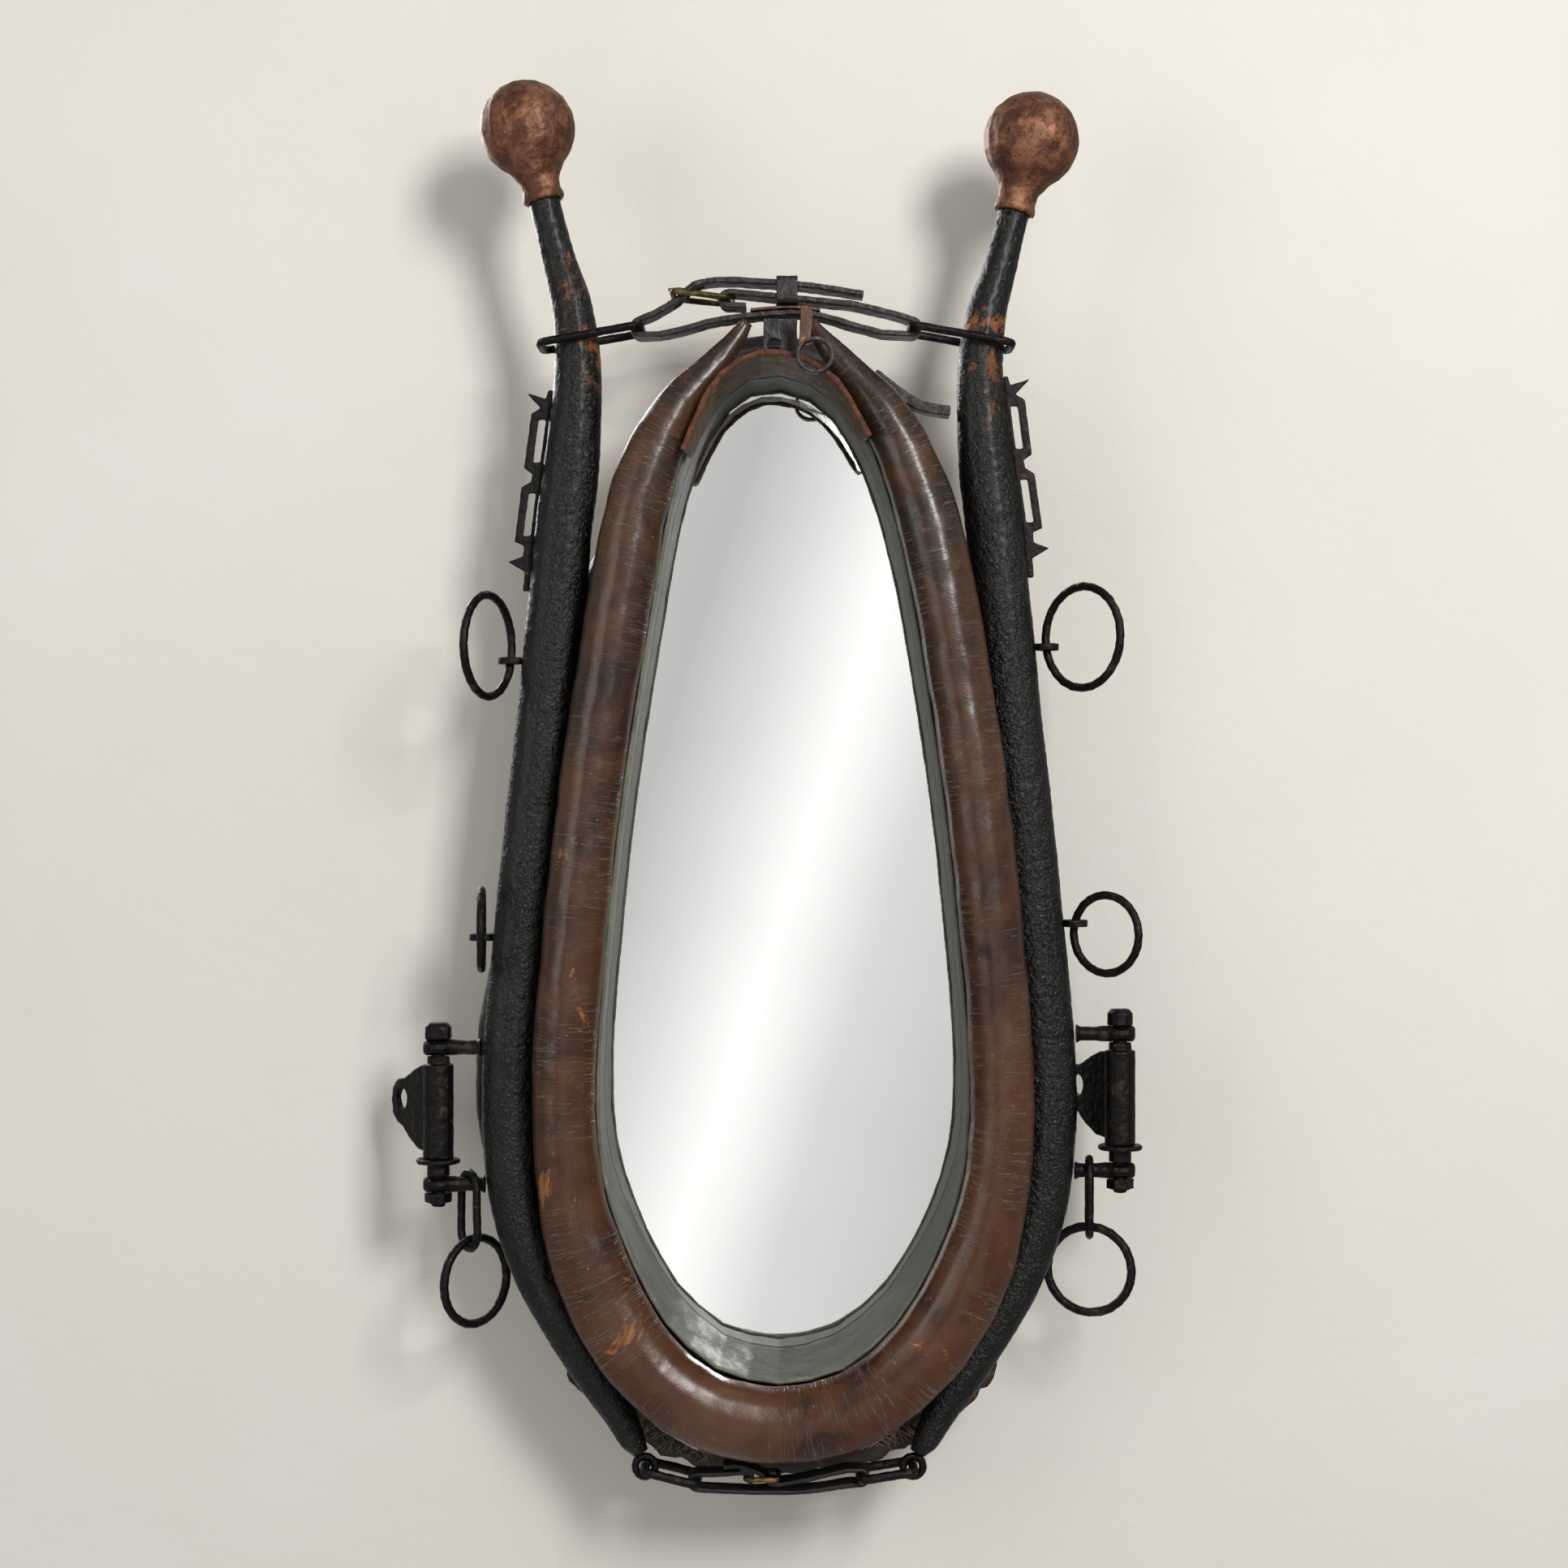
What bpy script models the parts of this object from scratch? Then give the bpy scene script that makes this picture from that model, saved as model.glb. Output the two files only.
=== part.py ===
"""A horse collar with its hames and harness fittings, made into a wall mirror.

Metres, +Z up. The front faces -Y, +X is the viewer's right, and the wall is the plane Y = 0.
Shapes are worked out from the middle of the collar, and an empty puts that middle below the wall mount.
"""

import math

import bmesh
import bpy
from mathutils import Matrix, Vector

# ---------------------------------------------------------------- overall sizes
COLLAR_WIDTH = 0.2664  # between the middles of the roll's two sides, at the widest
COLLAR_LENGTH = 0.670  # from the middle of the roll at the bottom to its upper ends
MOUNT_ABOVE_MIDDLE = 0.110  # how far the hanging batten lies above the collar's middle
GAP = 0.0003  # between pieces that touch
SOFT_GAP = 0.0009  # between the lining and the stuffed body behind it
SEAT_GAP = 0.0011  # between the flat foot of a fitting and the round, sloping side of the hame

# The roll's middle line, right half, from the bottom to the upper end, drawn for this width and length.
DRAWN_WIDTH = 0.2664
DRAWN_LENGTH = 0.670
OUTLINE = [
    (0.0000, -0.3906), (0.0346, -0.3852), (0.0586, -0.3729), (0.0872, -0.3470), (0.1098, -0.3108),
    (0.1215, -0.2810), (0.1293, -0.2492), (0.1332, -0.2070), (0.1328, -0.1652), (0.1291, -0.1157),
    (0.1189, -0.0168), (0.1041, 0.0821), (0.0907, 0.1563), (0.0810, 0.1900), (0.0685, 0.2180),
    (0.0500, 0.2440), (0.0320, 0.2620), (0.0185, 0.2795),
]
COLLAR_LEAN = 0.0025  # the soft collar sits this much to the right between its hames

# ---------------------------------------------------------------- stuffed collar
ROLL_RADIUS = 0.0197
DRAWN_ROLL_RADIUS = 0.0197  # the one that the hames' tucks were drawn for
ROLL_BELLY = 0.0045  # the roll is this much wider round the bottom
ROLL_TIP_RADIUS = 0.0090
LINING_THICKNESS = 0.0025
LINING_SLOPE = 0.0080  # how far the lining leans in towards the back at the bottom
WELT_RADIUS = 0.0013
BODY_SIDE_WIDTH = 0.0660  # the stuffed body beside the lining, at the sides
BODY_TOP_WIDTH = 0.0200
BODY_FOOT_WIDTH = 0.0420
BODY_CLEARANCE = 0.0018  # between the body and the roll or a hame in front of it
BODY_BULGE = 0.0110  # low down, the body stands out more on the left and less on the right
CAP_THICKNESS = 0.0028
CAP_RIM = 0.0036  # the width of the cap's raw front rim
CAP_PROUD = 0.0018  # how far the rim stands in front of the roll
CAP_SPREAD = 0.0015  # from the opening's edge out to the rim
CAP_TAPER_CROWN = 0.0065  # from the opening's edge in to the cap's back
CAP_TAPER_FOOT = 0.0022
CAP_BOW = 0.0006
CAP_FEET = {"left": 0.1970, "right": 0.2080}  # heights on the drawn outline
EDGE_STATIONS = 70
CAP_STATIONS = 110  # round the whole opening
CROWN_LEAN = -0.0050  # the opening's highest point lies this far to the left
CROWN_DROP = 0.0195  # it is this far below the roll's two ends
CROWN_FOOT = 0.2140  # the opening follows the roll up to this height on the drawn outline
CROWN_ARCH = [(0.24, 0.0019), (0.42, 0.0065), (0.57, 0.0130), (0.76, 0.0265)]  # (share of half width, drop)
THROAT_LOOP_LENGTH = 0.0080

# ------------------------------------------------------------ mirror and its back, in depth from the wall
BATTEN_THICKNESS = 0.0180
BOARD_THICKNESS = 0.0130
MIRROR_THICKNESS = 0.0040
MIRROR_LAP = 0.0100  # the mirror reaches this far behind the lining
POCKET_CLEARANCE = 0.0005
BOARD_LAP = 0.0220
BATTEN_WIDTH = 0.150
BATTEN_HEIGHT = 0.045
LOWER_BATTEN_DROP = 0.330  # below the hanging batten
SCREW_RADIUS = 0.0020
SCREW_HEAD_RADIUS = 0.0040
SCREW_LENGTH = 0.0300

# ---------------------------------------------------------------- hames
# (height on the roll's middle line, half width, how far the hame tucks behind the roll), toe to shoulder
HAME_SEAT = [
    (-0.3730, 0.0070, -0.0167), (-0.3600, 0.0105, -0.0015), (-0.3470, 0.0130, 0.0065),
    (-0.3110, 0.0145, 0.0085), (-0.2810, 0.0160, 0.0070), (-0.2490, 0.0175, 0.0058),
    (-0.2070, 0.0180, 0.0055), (-0.1650, 0.0180, 0.0058), (-0.1160, 0.0180, 0.0065),
    (-0.0170, 0.0180, 0.0062), (0.0330, 0.0180, 0.0050), (0.0820, 0.0180, 0.0018),
    (0.1230, 0.0180, -0.0008),
]
# (rise above the shoulder, reach outwards from it, half width), shoulder to head
HAME_HEAD = [
    (0.0300, -0.0027, 0.0180), (0.0600, -0.0067, 0.0178), (0.1010, -0.0102, 0.0158),
    (0.1260, -0.0113, 0.0143), (0.1460, -0.0099, 0.0136), (0.1660, -0.0067, 0.0123),
    (0.1860, -0.0005, 0.0106), (0.2080, 0.0052, 0.0098), (0.2370, 0.0122, 0.0097),
]
HAME_HALF_DEPTH = 0.0135
HAME_SETBACK = ROLL_RADIUS + 0.0033  # the hame's middle lies this far behind the roll's middle
FITTING_SETBACK = 0.0060  # rings and hinges sit this far behind the hame's middle

# ---------------------------------------------------------------- hame balls
BALL_RADIUS = 0.0295
BALL_HEIGHT = 0.0460  # from the socket's rim to the ball's middle
SOCKET_RIM_RADIUS = 0.0126
SOCKET_NECK_RADIUS = 0.0117
SOCKET_DEPTH = 0.0125
SOCKET_CLEARANCE = 0.0005

# ---------------------------------------------------------------- rings and their eyes
UPPER_RING_RADIUS = 0.0310  # to the middle of the wire, as for every ring and link
LOWER_RING_RADIUS = 0.0240
RING_WIRE = 0.0025
EYE_WIRE = 0.0021
EYE_PLAY = 0.0012
EYE_REACH = 0.0088  # from the hame's side to the middle of the eye
UPPER_RING_HEIGHT = 0.0800
LOWER_RING_HEIGHT = -0.0905

# ---------------------------------------------------------------- ratchets
RATCHET_HEIGHT = 0.1230  # the foot of the ratchet, above the collar's middle
RATCHET_THICKNESS = 0.0060
# (height above the ratchet's foot, reach from the hame's side)
RATCHET_EDGE = [
    (0.0000, 0.0040), (0.0120, 0.0042), (0.0180, 0.0150), (0.0215, 0.0060), (0.0280, 0.0060),
    (0.0305, 0.0120), (0.0640, 0.0120), (0.0675, 0.0065), (0.0725, 0.0065), (0.0760, 0.0120),
    (0.1095, 0.0120), (0.1130, 0.0065), (0.1225, 0.0165), (0.1185, 0.0040), (0.1240, 0.0030),
]
RATCHET_SLOTS = [(0.0340, 0.0605), (0.0795, 0.1060)]  # (lowest, highest)
RATCHET_SLOT_REACH = (0.0025, 0.0072)

# ---------------------------------------------------------------- tug hinges
HINGE_HEIGHT = -0.1980  # the middle of the sleeve
SLEEVE_LENGTH = 0.0580
SLEEVE_RADIUS = 0.0095
SLEEVE_NECK_LENGTH = 0.0050
SLEEVE_NECK_RADIUS = 0.0070
BOLT_RADIUS = 0.0045
BOLT_PLAY = 0.0005
HINGE_REACH = 0.0450  # from the hame's middle to the bolt
ARM_ROD_RADIUS = 0.0045
ARM_FOOT_RADIUS = 0.0060
ARM_EYE_RADIUS = 0.0096
ARM_HALF_THICKNESS = 0.0050
BUSH_FLANGE_RADIUS = 0.0140
BUSH_FLANGE_THICKNESS = 0.0030
BUSH_LENGTH = 0.0105
BOLT_HEAD_RADIUS = 0.0080
BOLT_HEAD_HEIGHT = 0.0100
NUT_RADIUS = 0.0085
NUT_HEIGHT = 0.0060
CLIP_REACH = 0.0560  # from the bolt to the tip of the clip's plate
CLIP_THICKNESS = 0.0040
CLIP_HOLE_RADIUS = 0.0067

# ---------------------------------------------------------------- links and drop rings
LINK_WIRE = 0.0024
LINK_TOP_RADIUS = 0.0102
LINK_FOOT_RADIUS = 0.0110
LINK_DROP = 0.0260  # between the middles of the link's two ends
LINK_FROM_BOLT = 0.0190  # how far inside the bolt the link hangs on the lower arm
DROP_RING_RADIUS = 0.0266
DROP_RING_WIRE = 0.0027

# ---------------------------------------------------------------- top links and top strap
TOP_LINK_WIRE = 0.0025
TOP_LINK_RISE = 0.1410  # above the hame's shoulder
TOP_LINK_LENGTH = 0.0620
TOP_LINK_HALF_WIDTH = 0.0172
TOP_LINK_CORNER = 0.0060
TOP_LINK_TILT = math.radians(10)
TOP_LINK_SLACK = 0.0055  # between the hame's outer side and the link
STRAP_WIDTH = 0.0200
STRAP_THICKNESS = 0.0035
BUCKLE_WIRE = 0.0020
BUCKLE_HALF_WIDTH = 0.0140
BUCKLE_LENGTH = 0.0340
BUCKLE_FROM_LINK = 0.0540  # from the left link's bar to the buckle's bar
TONGUE_WIDTH = 0.0040
TONGUE_CLEARANCE = 0.0012
SAFE_THICKNESS = 0.0018
KEEPER_LENGTH = 0.0130
KEEPER_THICKNESS = 0.0016
KEEPER_FROM_BUCKLE = 0.0360

# ---------------------------------------------------------------- toe eyes, bottom links and bottom strap
TOE_EYE_RADIUS = 0.0062
TOE_EYE_WIRE = 0.0024
BOTTOM_LINK_WIRE = 0.0028
BOTTOM_LINK_LENGTH = 0.0330
BOTTOM_LINK_HALF_WIDTH = 0.0150
BOTTOM_LINK_CORNER = 0.0050
BOTTOM_STRAP_THICKNESS = 0.0028
BOTTOM_STRAP_WIDTH = 0.0180
BOTTOM_BUCKLE_WIRE = 0.0018
BOTTOM_BUCKLE_LENGTH = 0.0200
BOTTOM_BUCKLE_FROM_LINK = 0.0300

# (side, how much longer the head is, how much higher the fittings sit)
SIDES = {"left": (-1, 0.0035, -0.0040), "right": (1, -0.0035, 0.0045)}
UPPER_RING_TURN = {"left": 68.0, "right": 49.0}  # degrees from the picture's plane
LOWER_RING_TURN = {"left": 95.0, "right": 41.0}
UPPER_RING_LIFT = {"left": 0.0080, "right": 0.0050}  # the ring's middle above its eye
LOWER_RING_LIFT = {"left": 0.0060, "right": -0.0060}
CLIP_TURN = {"left": 37.0, "right": -30.0}  # degrees outwards from straight back
LINK_TURN = {"left": 33.0, "right": 4.0}  # degrees from edge-on
DROP_RING_TURN = {"left": 50.0, "right": 20.0}
DROP_RING_SWING = {"left": 15.0, "right": 0.0}  # degrees towards the hame, where it hangs at rest

# ---------------------------------------------------------------- worked out from the sizes above
LINING_BACK = -(BATTEN_THICKNESS + BOARD_THICKNESS + 2 * GAP)
BODY_BACK = LINING_BACK
ROLL_Y = -0.1120
HAME_Y = ROLL_Y + HAME_SETBACK
FITTING_Y = HAME_Y + FITTING_SETBACK
BODY_UNDER_ROLL = ROLL_Y + ROLL_RADIUS + BODY_CLEARANCE
BODY_UNDER_HAME = HAME_Y + HAME_HALF_DEPTH + BODY_CLEARANCE
LINING_FRONT = ROLL_Y + 0.0140
Y_AXIS = Vector((0, 1, 0))
Z_AXIS = Vector((0, 0, 1))

MATERIALS = {  # colour, roughness, metallic
    "roll_leather": ((0.075, 0.035, 0.024), 0.38, 0.0),
    "body_leather": ((0.110, 0.080, 0.055), 0.60, 0.0),
    "lining_cloth": ((0.130, 0.145, 0.115), 0.75, 0.0),
    "pale_piping": ((0.450, 0.450, 0.330), 0.70, 0.0),
    "cap_leather": ((0.130, 0.055, 0.025), 0.65, 0.0),
    "strap_leather": ((0.020, 0.016, 0.014), 0.45, 0.0),
    "hame_paint": ((0.012, 0.012, 0.013), 0.30, 0.0),
    "rusty_copper": ((0.230, 0.085, 0.045), 0.42, 0.7),
    "black_iron": ((0.020, 0.017, 0.015), 0.42, 0.6),
    "worn_brass": ((0.200, 0.130, 0.050), 0.45, 0.8),
    "mirror_silver": ((0.900, 0.900, 0.900), 0.02, 1.0),
    "board_wood": ((0.300, 0.190, 0.100), 0.70, 0.0),
    "screw_steel": ((0.350, 0.330, 0.300), 0.40, 1.0),
}


# ================================================================ tools
def clear_scene():
    for old in list(bpy.data.objects):
        bpy.data.objects.remove(old, do_unlink=True)


def material(name):
    made = bpy.data.materials.get(name)
    if made is None:
        colour, roughness, metallic = MATERIALS[name]
        made = bpy.data.materials.new(name)
        made.use_nodes = True
        shader = made.node_tree.nodes["Principled BSDF"]
        shader.inputs["Base Color"].default_value = (*colour, 1)
        shader.inputs["Roughness"].default_value = roughness
        shader.inputs["Metallic"].default_value = metallic
        made.diffuse_color = (*colour, 1)
    return made


def add_object(name, mesh_in_progress, finish, origin=Vector(), smooth_angle=40):
    """Makes an object, its origin at origin, from a bmesh measured from the collar's middle."""
    bmesh.ops.recalc_face_normals(mesh_in_progress, faces=mesh_in_progress.faces)
    bmesh.ops.translate(mesh_in_progress, verts=mesh_in_progress.verts, vec=-origin)
    mesh = bpy.data.meshes.new(name)
    mesh_in_progress.to_mesh(mesh)
    mesh_in_progress.free()
    mesh.shade_smooth()
    mesh.set_sharp_from_angle(angle=math.radians(smooth_angle))
    made = bpy.data.objects.new(name, mesh)
    made.location = origin
    if finish:
        mesh.materials.append(material(finish))
    made.parent = bpy.data.objects["collar_middle"]
    bpy.context.collection.objects.link(made)
    return made


def skin(rings, closed=False):
    """A closed surface through rings of points. An open row of rings gets flat ends."""
    made = bmesh.new()
    rows = [[made.verts.new(point) for point in ring] for ring in rings]
    pairs = list(zip(rows, rows[1:]))
    if closed:
        pairs.append((rows[-1], rows[0]))
    sides = len(rows[0])
    for lower, upper in pairs:
        for i in range(sides):
            j = (i + 1) % sides
            made.faces.new((lower[i], lower[j], upper[j], upper[i]))
    if not closed:
        made.faces.new(rows[0])
        made.faces.new(rows[-1])
    return made


def swept(path, normal, section, closed=False):
    """Carries a section along a flat path. section(i) gives (across the path, along normal) pairs."""
    rings = []
    count = len(path)
    for i, point in enumerate(path):
        before = path[i - 1] if closed or i > 0 else path[i]
        after = path[(i + 1) % count] if closed or i < count - 1 else path[i]
        across = normal.cross(after - before).normalized()
        rings.append([point + across * a + normal * b for a, b in section(i)])
    return skin(rings, closed)


def oval(half_across, half_along, sides, across=0.0, along=0.0):
    turns = [2 * math.pi * k / sides for k in range(sides)]
    return [(across + half_across * math.cos(t), along + half_along * math.sin(t)) for t in turns]


def oblong(half_across, half_along):
    return [
        (half_across, -half_along),
        (half_across, half_along),
        (-half_across, half_along),
        (-half_across, -half_along),
    ]


def wire(path, normal, radius, sides=8, closed=False):
    return swept(path, normal, lambda i: oval(radius, radius, sides), closed)


def turned(profile, place, sides=20):
    """A profile of (radius, height) pairs, from one end on the axis to the other, turned about place's Z."""
    made = bmesh.new()
    rows = []
    for radius, height in profile:
        if radius == 0:
            rows.append([made.verts.new(place @ Vector((0, 0, height)))])
        else:
            section = oval(radius, radius, sides)
            rows.append([made.verts.new(place @ Vector((a, b, height))) for a, b in section])
    closed = profile[0][0] > 0
    pairs = list(zip(rows, rows[1:])) + ([(rows[-1], rows[0])] if closed else [])
    for lower, upper in pairs:
        for i in range(sides):
            j = (i + 1) % sides
            corners = [lower[i % len(lower)], lower[j % len(lower)]]
            corners += [upper[j % len(upper)], upper[i % len(upper)]]
            made.faces.new(list(dict.fromkeys(corners)))
    return made


def plate(outline, holes, thickness, place):
    """A flat outline with holes, in place's XY plane, and half the thickness to each side of it."""
    made = bmesh.new()
    for loop in [outline, *holes]:
        corners = [made.verts.new((a, b, -thickness / 2)) for a, b in loop]
        for first, second in zip(corners, corners[1:] + corners[:1]):
            made.edges.new((first, second))
    bmesh.ops.triangle_fill(made, use_beauty=True, use_dissolve=False, edges=made.edges)
    raised = bmesh.ops.extrude_face_region(made, geom=list(made.faces))["geom"]
    points = [part for part in raised if isinstance(part, bmesh.types.BMVert)]
    bmesh.ops.translate(made, verts=points, vec=(0, 0, thickness))
    bmesh.ops.transform(made, matrix=place, verts=made.verts)
    return made


def cut(target, cutter, operation="DIFFERENCE"):
    cutter.hide_render = True
    cutter.display_type = "WIRE"
    change = target.modifiers.new(cutter.name, "BOOLEAN")
    change.operation = operation
    change.solver = "EXACT"
    change.object = cutter


def bar_cutter(name, place, radius, length, sides=16):
    profile = [(0, 0), (radius, 0), (radius, length), (0, length)]
    return add_object(name, turned(profile, place, sides), None)


def box_cutter(name, low, high):
    made = bmesh.new()
    bmesh.ops.create_cube(made, size=1)
    size = Vector(high) - Vector(low)
    middle = (Vector(high) + Vector(low)) / 2
    bmesh.ops.scale(made, vec=size, verts=made.verts)
    bmesh.ops.translate(made, vec=middle, verts=made.verts)
    return add_object(name, made, None)


def smooth_step(start, end, value):
    share = min(1.0, max(0.0, (value - start) / (end - start)))
    return share * share * (3 - 2 * share)


def curve_through(points, closed=False, steps=12):
    """Points on a smooth curve through the given ones (Catmull-Rom)."""
    found = []
    count = len(points)
    for i in range(count if closed else count - 1):
        if closed:
            near = [points[(i + k) % count] for k in (-1, 0, 1, 2)]
        else:
            near = [points[min(max(i + k, 0), count - 1)] for k in (-1, 0, 1, 2)]
        a, b, c, d = near
        for k in range(steps):
            t = k / steps
            found.append(
                0.5 * (2 * b + (c - a) * t)
                + 0.5 * (2 * a - 5 * b + 4 * c - d) * t**2
                + 0.5 * (3 * b - a - 3 * c + d) * t**3
            )
    if not closed:
        found.append(points[-1].copy())
    return found


def evenly(points, count, closed=False):
    """The given number of points, evenly spaced along the line through points."""
    line = points + [points[0]] if closed else points
    reached = [0.0]
    for first, second in zip(line, line[1:]):
        reached.append(reached[-1] + (second - first).length)
    found = []
    k = 0
    for i in range(count):
        wanted = reached[-1] * i / (count if closed else count - 1)
        while k < len(line) - 2 and reached[k + 1] < wanted:
            k += 1
        share = (wanted - reached[k]) / (reached[k + 1] - reached[k])
        found.append(line[k].lerp(line[k + 1], share))
    return found


def arc_points(middle, radius, start, end, steps):
    """Points in the XZ plane round middle, with angles in degrees from +X towards +Z."""
    turns = [math.radians(start + (end - start) * k / steps) for k in range(steps + 1)]
    return [middle + Vector((radius * math.cos(t), 0, radius * math.sin(t))) for t in turns]


def loop_path(length, half_width, corner, place, steps=4):
    """A rectangle with round corners in place's XY plane, from X = 0 to X = length."""
    found = []
    for x, y, first in (
        (length - corner, half_width - corner, 0),
        (corner, half_width - corner, 90),
        (corner, corner - half_width, 180),
        (length - corner, corner - half_width, 270),
    ):
        for k in range(steps + 1):
            turn = math.radians(first + 90 * k / steps)
            found.append(place @ Vector((x + corner * math.cos(turn), y + corner * math.sin(turn), 0)))
    return found


def axes(x, y, origin):
    """The matrix that puts local X and Y along x and y, and the origin at origin."""
    x = Vector(x).normalized()
    z = x.cross(Vector(y)).normalized()
    y = z.cross(x)
    turned_axes = Matrix((x, y, z)).transposed().to_4x4()
    return Matrix.Translation(origin) @ turned_axes


# ================================================================ lines that everything follows
def drawn_height(height):
    return height * DRAWN_LENGTH / COLLAR_LENGTH


def roll_half(height):
    """Half the roll's width in the front view, at this height of its middle line."""
    drawn = drawn_height(height)
    belly = ROLL_BELLY * (1 - smooth_step(-0.31, -0.22, drawn))
    taper = (ROLL_RADIUS - ROLL_TIP_RADIUS) * smooth_step(0.165, 0.300, drawn)
    return ROLL_RADIUS + belly - taper


def lean(height):
    drawn = drawn_height(height)
    return COLLAR_LEAN * smooth_step(-0.39, -0.27, drawn) * (1 - smooth_step(0.10, 0.22, drawn))


def seat_line():
    """The right half of the roll's middle line, before the collar's lean."""
    wide = COLLAR_WIDTH / DRAWN_WIDTH
    long = COLLAR_LENGTH / DRAWN_LENGTH
    return curve_through([Vector((x * wide, 0, z * long)) for x, z in OUTLINE])


SEAT = []  # filled by build()


def seat_at(drawn):
    """The point of the seat line at this drawn height, and the outward direction there."""
    height = drawn * COLLAR_LENGTH / DRAWN_LENGTH
    k = next(i for i in range(1, len(SEAT)) if SEAT[i].z >= height or i == len(SEAT) - 1)
    lower, upper = SEAT[k - 1], SEAT[k]
    point = lower.lerp(upper, (height - lower.z) / (upper.z - lower.z))
    ahead = SEAT[min(k + 3, len(SEAT) - 1)] - SEAT[max(k - 4, 0)]
    return point, Y_AXIS.cross(ahead).normalized()


def roll_line(count):
    """The roll's middle line from the left end round the bottom to the right end."""
    right = list(SEAT)
    left = [Vector((-p.x, 0, p.z)) for p in reversed(SEAT[1:])]
    line = [p + Vector((lean(p.z), 0, 0)) for p in left + right]
    return evenly(line, count)


def edge_line(count):
    """The roll's inner edge, closed over the top: the collar's opening, anticlockwise from the bottom."""
    long = COLLAR_LENGTH / DRAWN_LENGTH
    inner = []
    for i in range(2, len(SEAT) - 1):
        if SEAT[i].z > CROWN_FOOT * long:
            break
        out = Y_AXIS.cross(SEAT[i + 1] - SEAT[i - 1]).normalized()
        inner.append(SEAT[i] - out * roll_half(SEAT[i].z))
    foot = Vector((0, 0, SEAT[0].z + roll_half(SEAT[0].z)))
    apex = Vector((CROWN_LEAN, 0, SEAT[-1].z - CROWN_DROP))
    wide = inner[-1].x
    arch = [(share * wide, apex.z - drop * long, 1 - share) for share, drop in reversed(CROWN_ARCH)]
    right = inner[::6] + [Vector((x + CROWN_LEAN * still, 0, z)) for x, z, still in arch]
    left = [Vector((-x + CROWN_LEAN * still, 0, z)) for x, z, still in reversed(arch)]
    left += [Vector((-p.x, 0, p.z)) for p in reversed(inner[::6])]
    line = curve_through([foot, *right, apex, *left], closed=True, steps=6)
    line = [p + Vector((lean(p.z), 0, 0)) for p in line]
    return evenly(line, count, closed=True)


def grown(line, distance):
    """A closed line moved outwards."""
    count = len(line)
    found = []
    for i, point in enumerate(line):
        ahead = line[(i + 1) % count] - line[i - 1]
        found.append(point + Y_AXIS.cross(ahead).normalized() * distance)
    return found


def hame_line(side_name):
    """The hame's middle line with its half width at each point, toe to head."""
    side, longer, _ = SIDES[side_name]
    points, halves = [], []
    for drawn, half, tuck in HAME_SEAT:
        seat, out = seat_at(drawn)
        points.append(seat + out * (roll_half(seat.z) + half - tuck * ROLL_RADIUS / DRAWN_ROLL_RADIUS))
        halves.append(half)
    shoulder = points[-1]
    for rise, reach, half in HAME_HEAD:
        stretch = longer * rise / HAME_HEAD[-1][0]
        points.append(shoulder + Vector((reach, 0, rise + stretch)))
        halves.append(half)
    steps = 4
    fine = curve_through(points, steps=steps)
    fine_halves = []
    for i in range(len(fine)):
        k = min(i // steps, len(halves) - 2)
        share = i / steps - k
        fine_halves.append(halves[k] + (halves[k + 1] - halves[k]) * share)
    placed = [Vector((side * p.x, HAME_Y, p.z)) for p in fine]
    return placed, fine_halves


HAMES = {}  # filled by build()


def hame_at(side_name, height):
    """The hame's middle, its half width and the direction along it, at this height."""
    points, halves = HAMES[side_name]
    k = next(i for i in range(1, len(points)) if points[i].z >= height or i == len(points) - 1)
    share = (height - points[k - 1].z) / (points[k].z - points[k - 1].z)
    middle = points[k - 1].lerp(points[k], share)
    half = halves[k - 1] + (halves[k] - halves[k - 1]) * share
    return middle, half, (points[k] - points[k - 1]).normalized()


def hame_depth(half):
    """Half the hame's depth where its half width is this: round at the head and the toe."""
    return min(half, HAME_HALF_DEPTH)


def hame_side(side_name, height, y):
    """The outermost point of the hame at this height and depth."""
    side = SIDES[side_name][0]
    middle, half, along = hame_at(side_name, height)
    share = min(0.95, abs(y - HAME_Y) / hame_depth(half))
    reach = half * math.sqrt(1 - share * share) / abs(along.z)
    return Vector((middle.x + side * reach, y, height))


# ================================================================ the stuffed collar
def build_roll():
    count = 52
    line = roll_line(count)
    depth = ROLL_RADIUS

    def section(i):
        half = roll_half(line[i].z)
        end = min(i, count - 1 - i)
        tip = (0.45, 0.80, 1.0)[min(end, 2)]
        return oval(half * tip, min(half, depth) * tip, 14, 0, ROLL_Y)

    add_object("forewale_roll", swept(line, Y_AXIS, section), "roll_leather")


def lining_slope(height):
    return LINING_SLOPE * (1 - smooth_step(-0.36, -0.20, drawn_height(height)))


def build_lining(edge):
    def section(i):
        slope = lining_slope(edge[i].z)
        return [
            (0, LINING_FRONT),
            (LINING_THICKNESS, LINING_FRONT),
            (LINING_THICKNESS - slope, LINING_BACK),
            (-slope, LINING_BACK),
        ]

    add_object("collar_lining", swept(edge, Y_AXIS, section, closed=True), "lining_cloth")


def build_welt(edge):
    welt_y = LINING_FRONT - WELT_RADIUS - GAP
    line = [p + Vector((0, welt_y, 0)) for p in grown(edge, -0.0002)]
    add_object("welt_piping", wire(line, Y_AXIS, WELT_RADIUS, 6, closed=True), "pale_piping")


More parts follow.
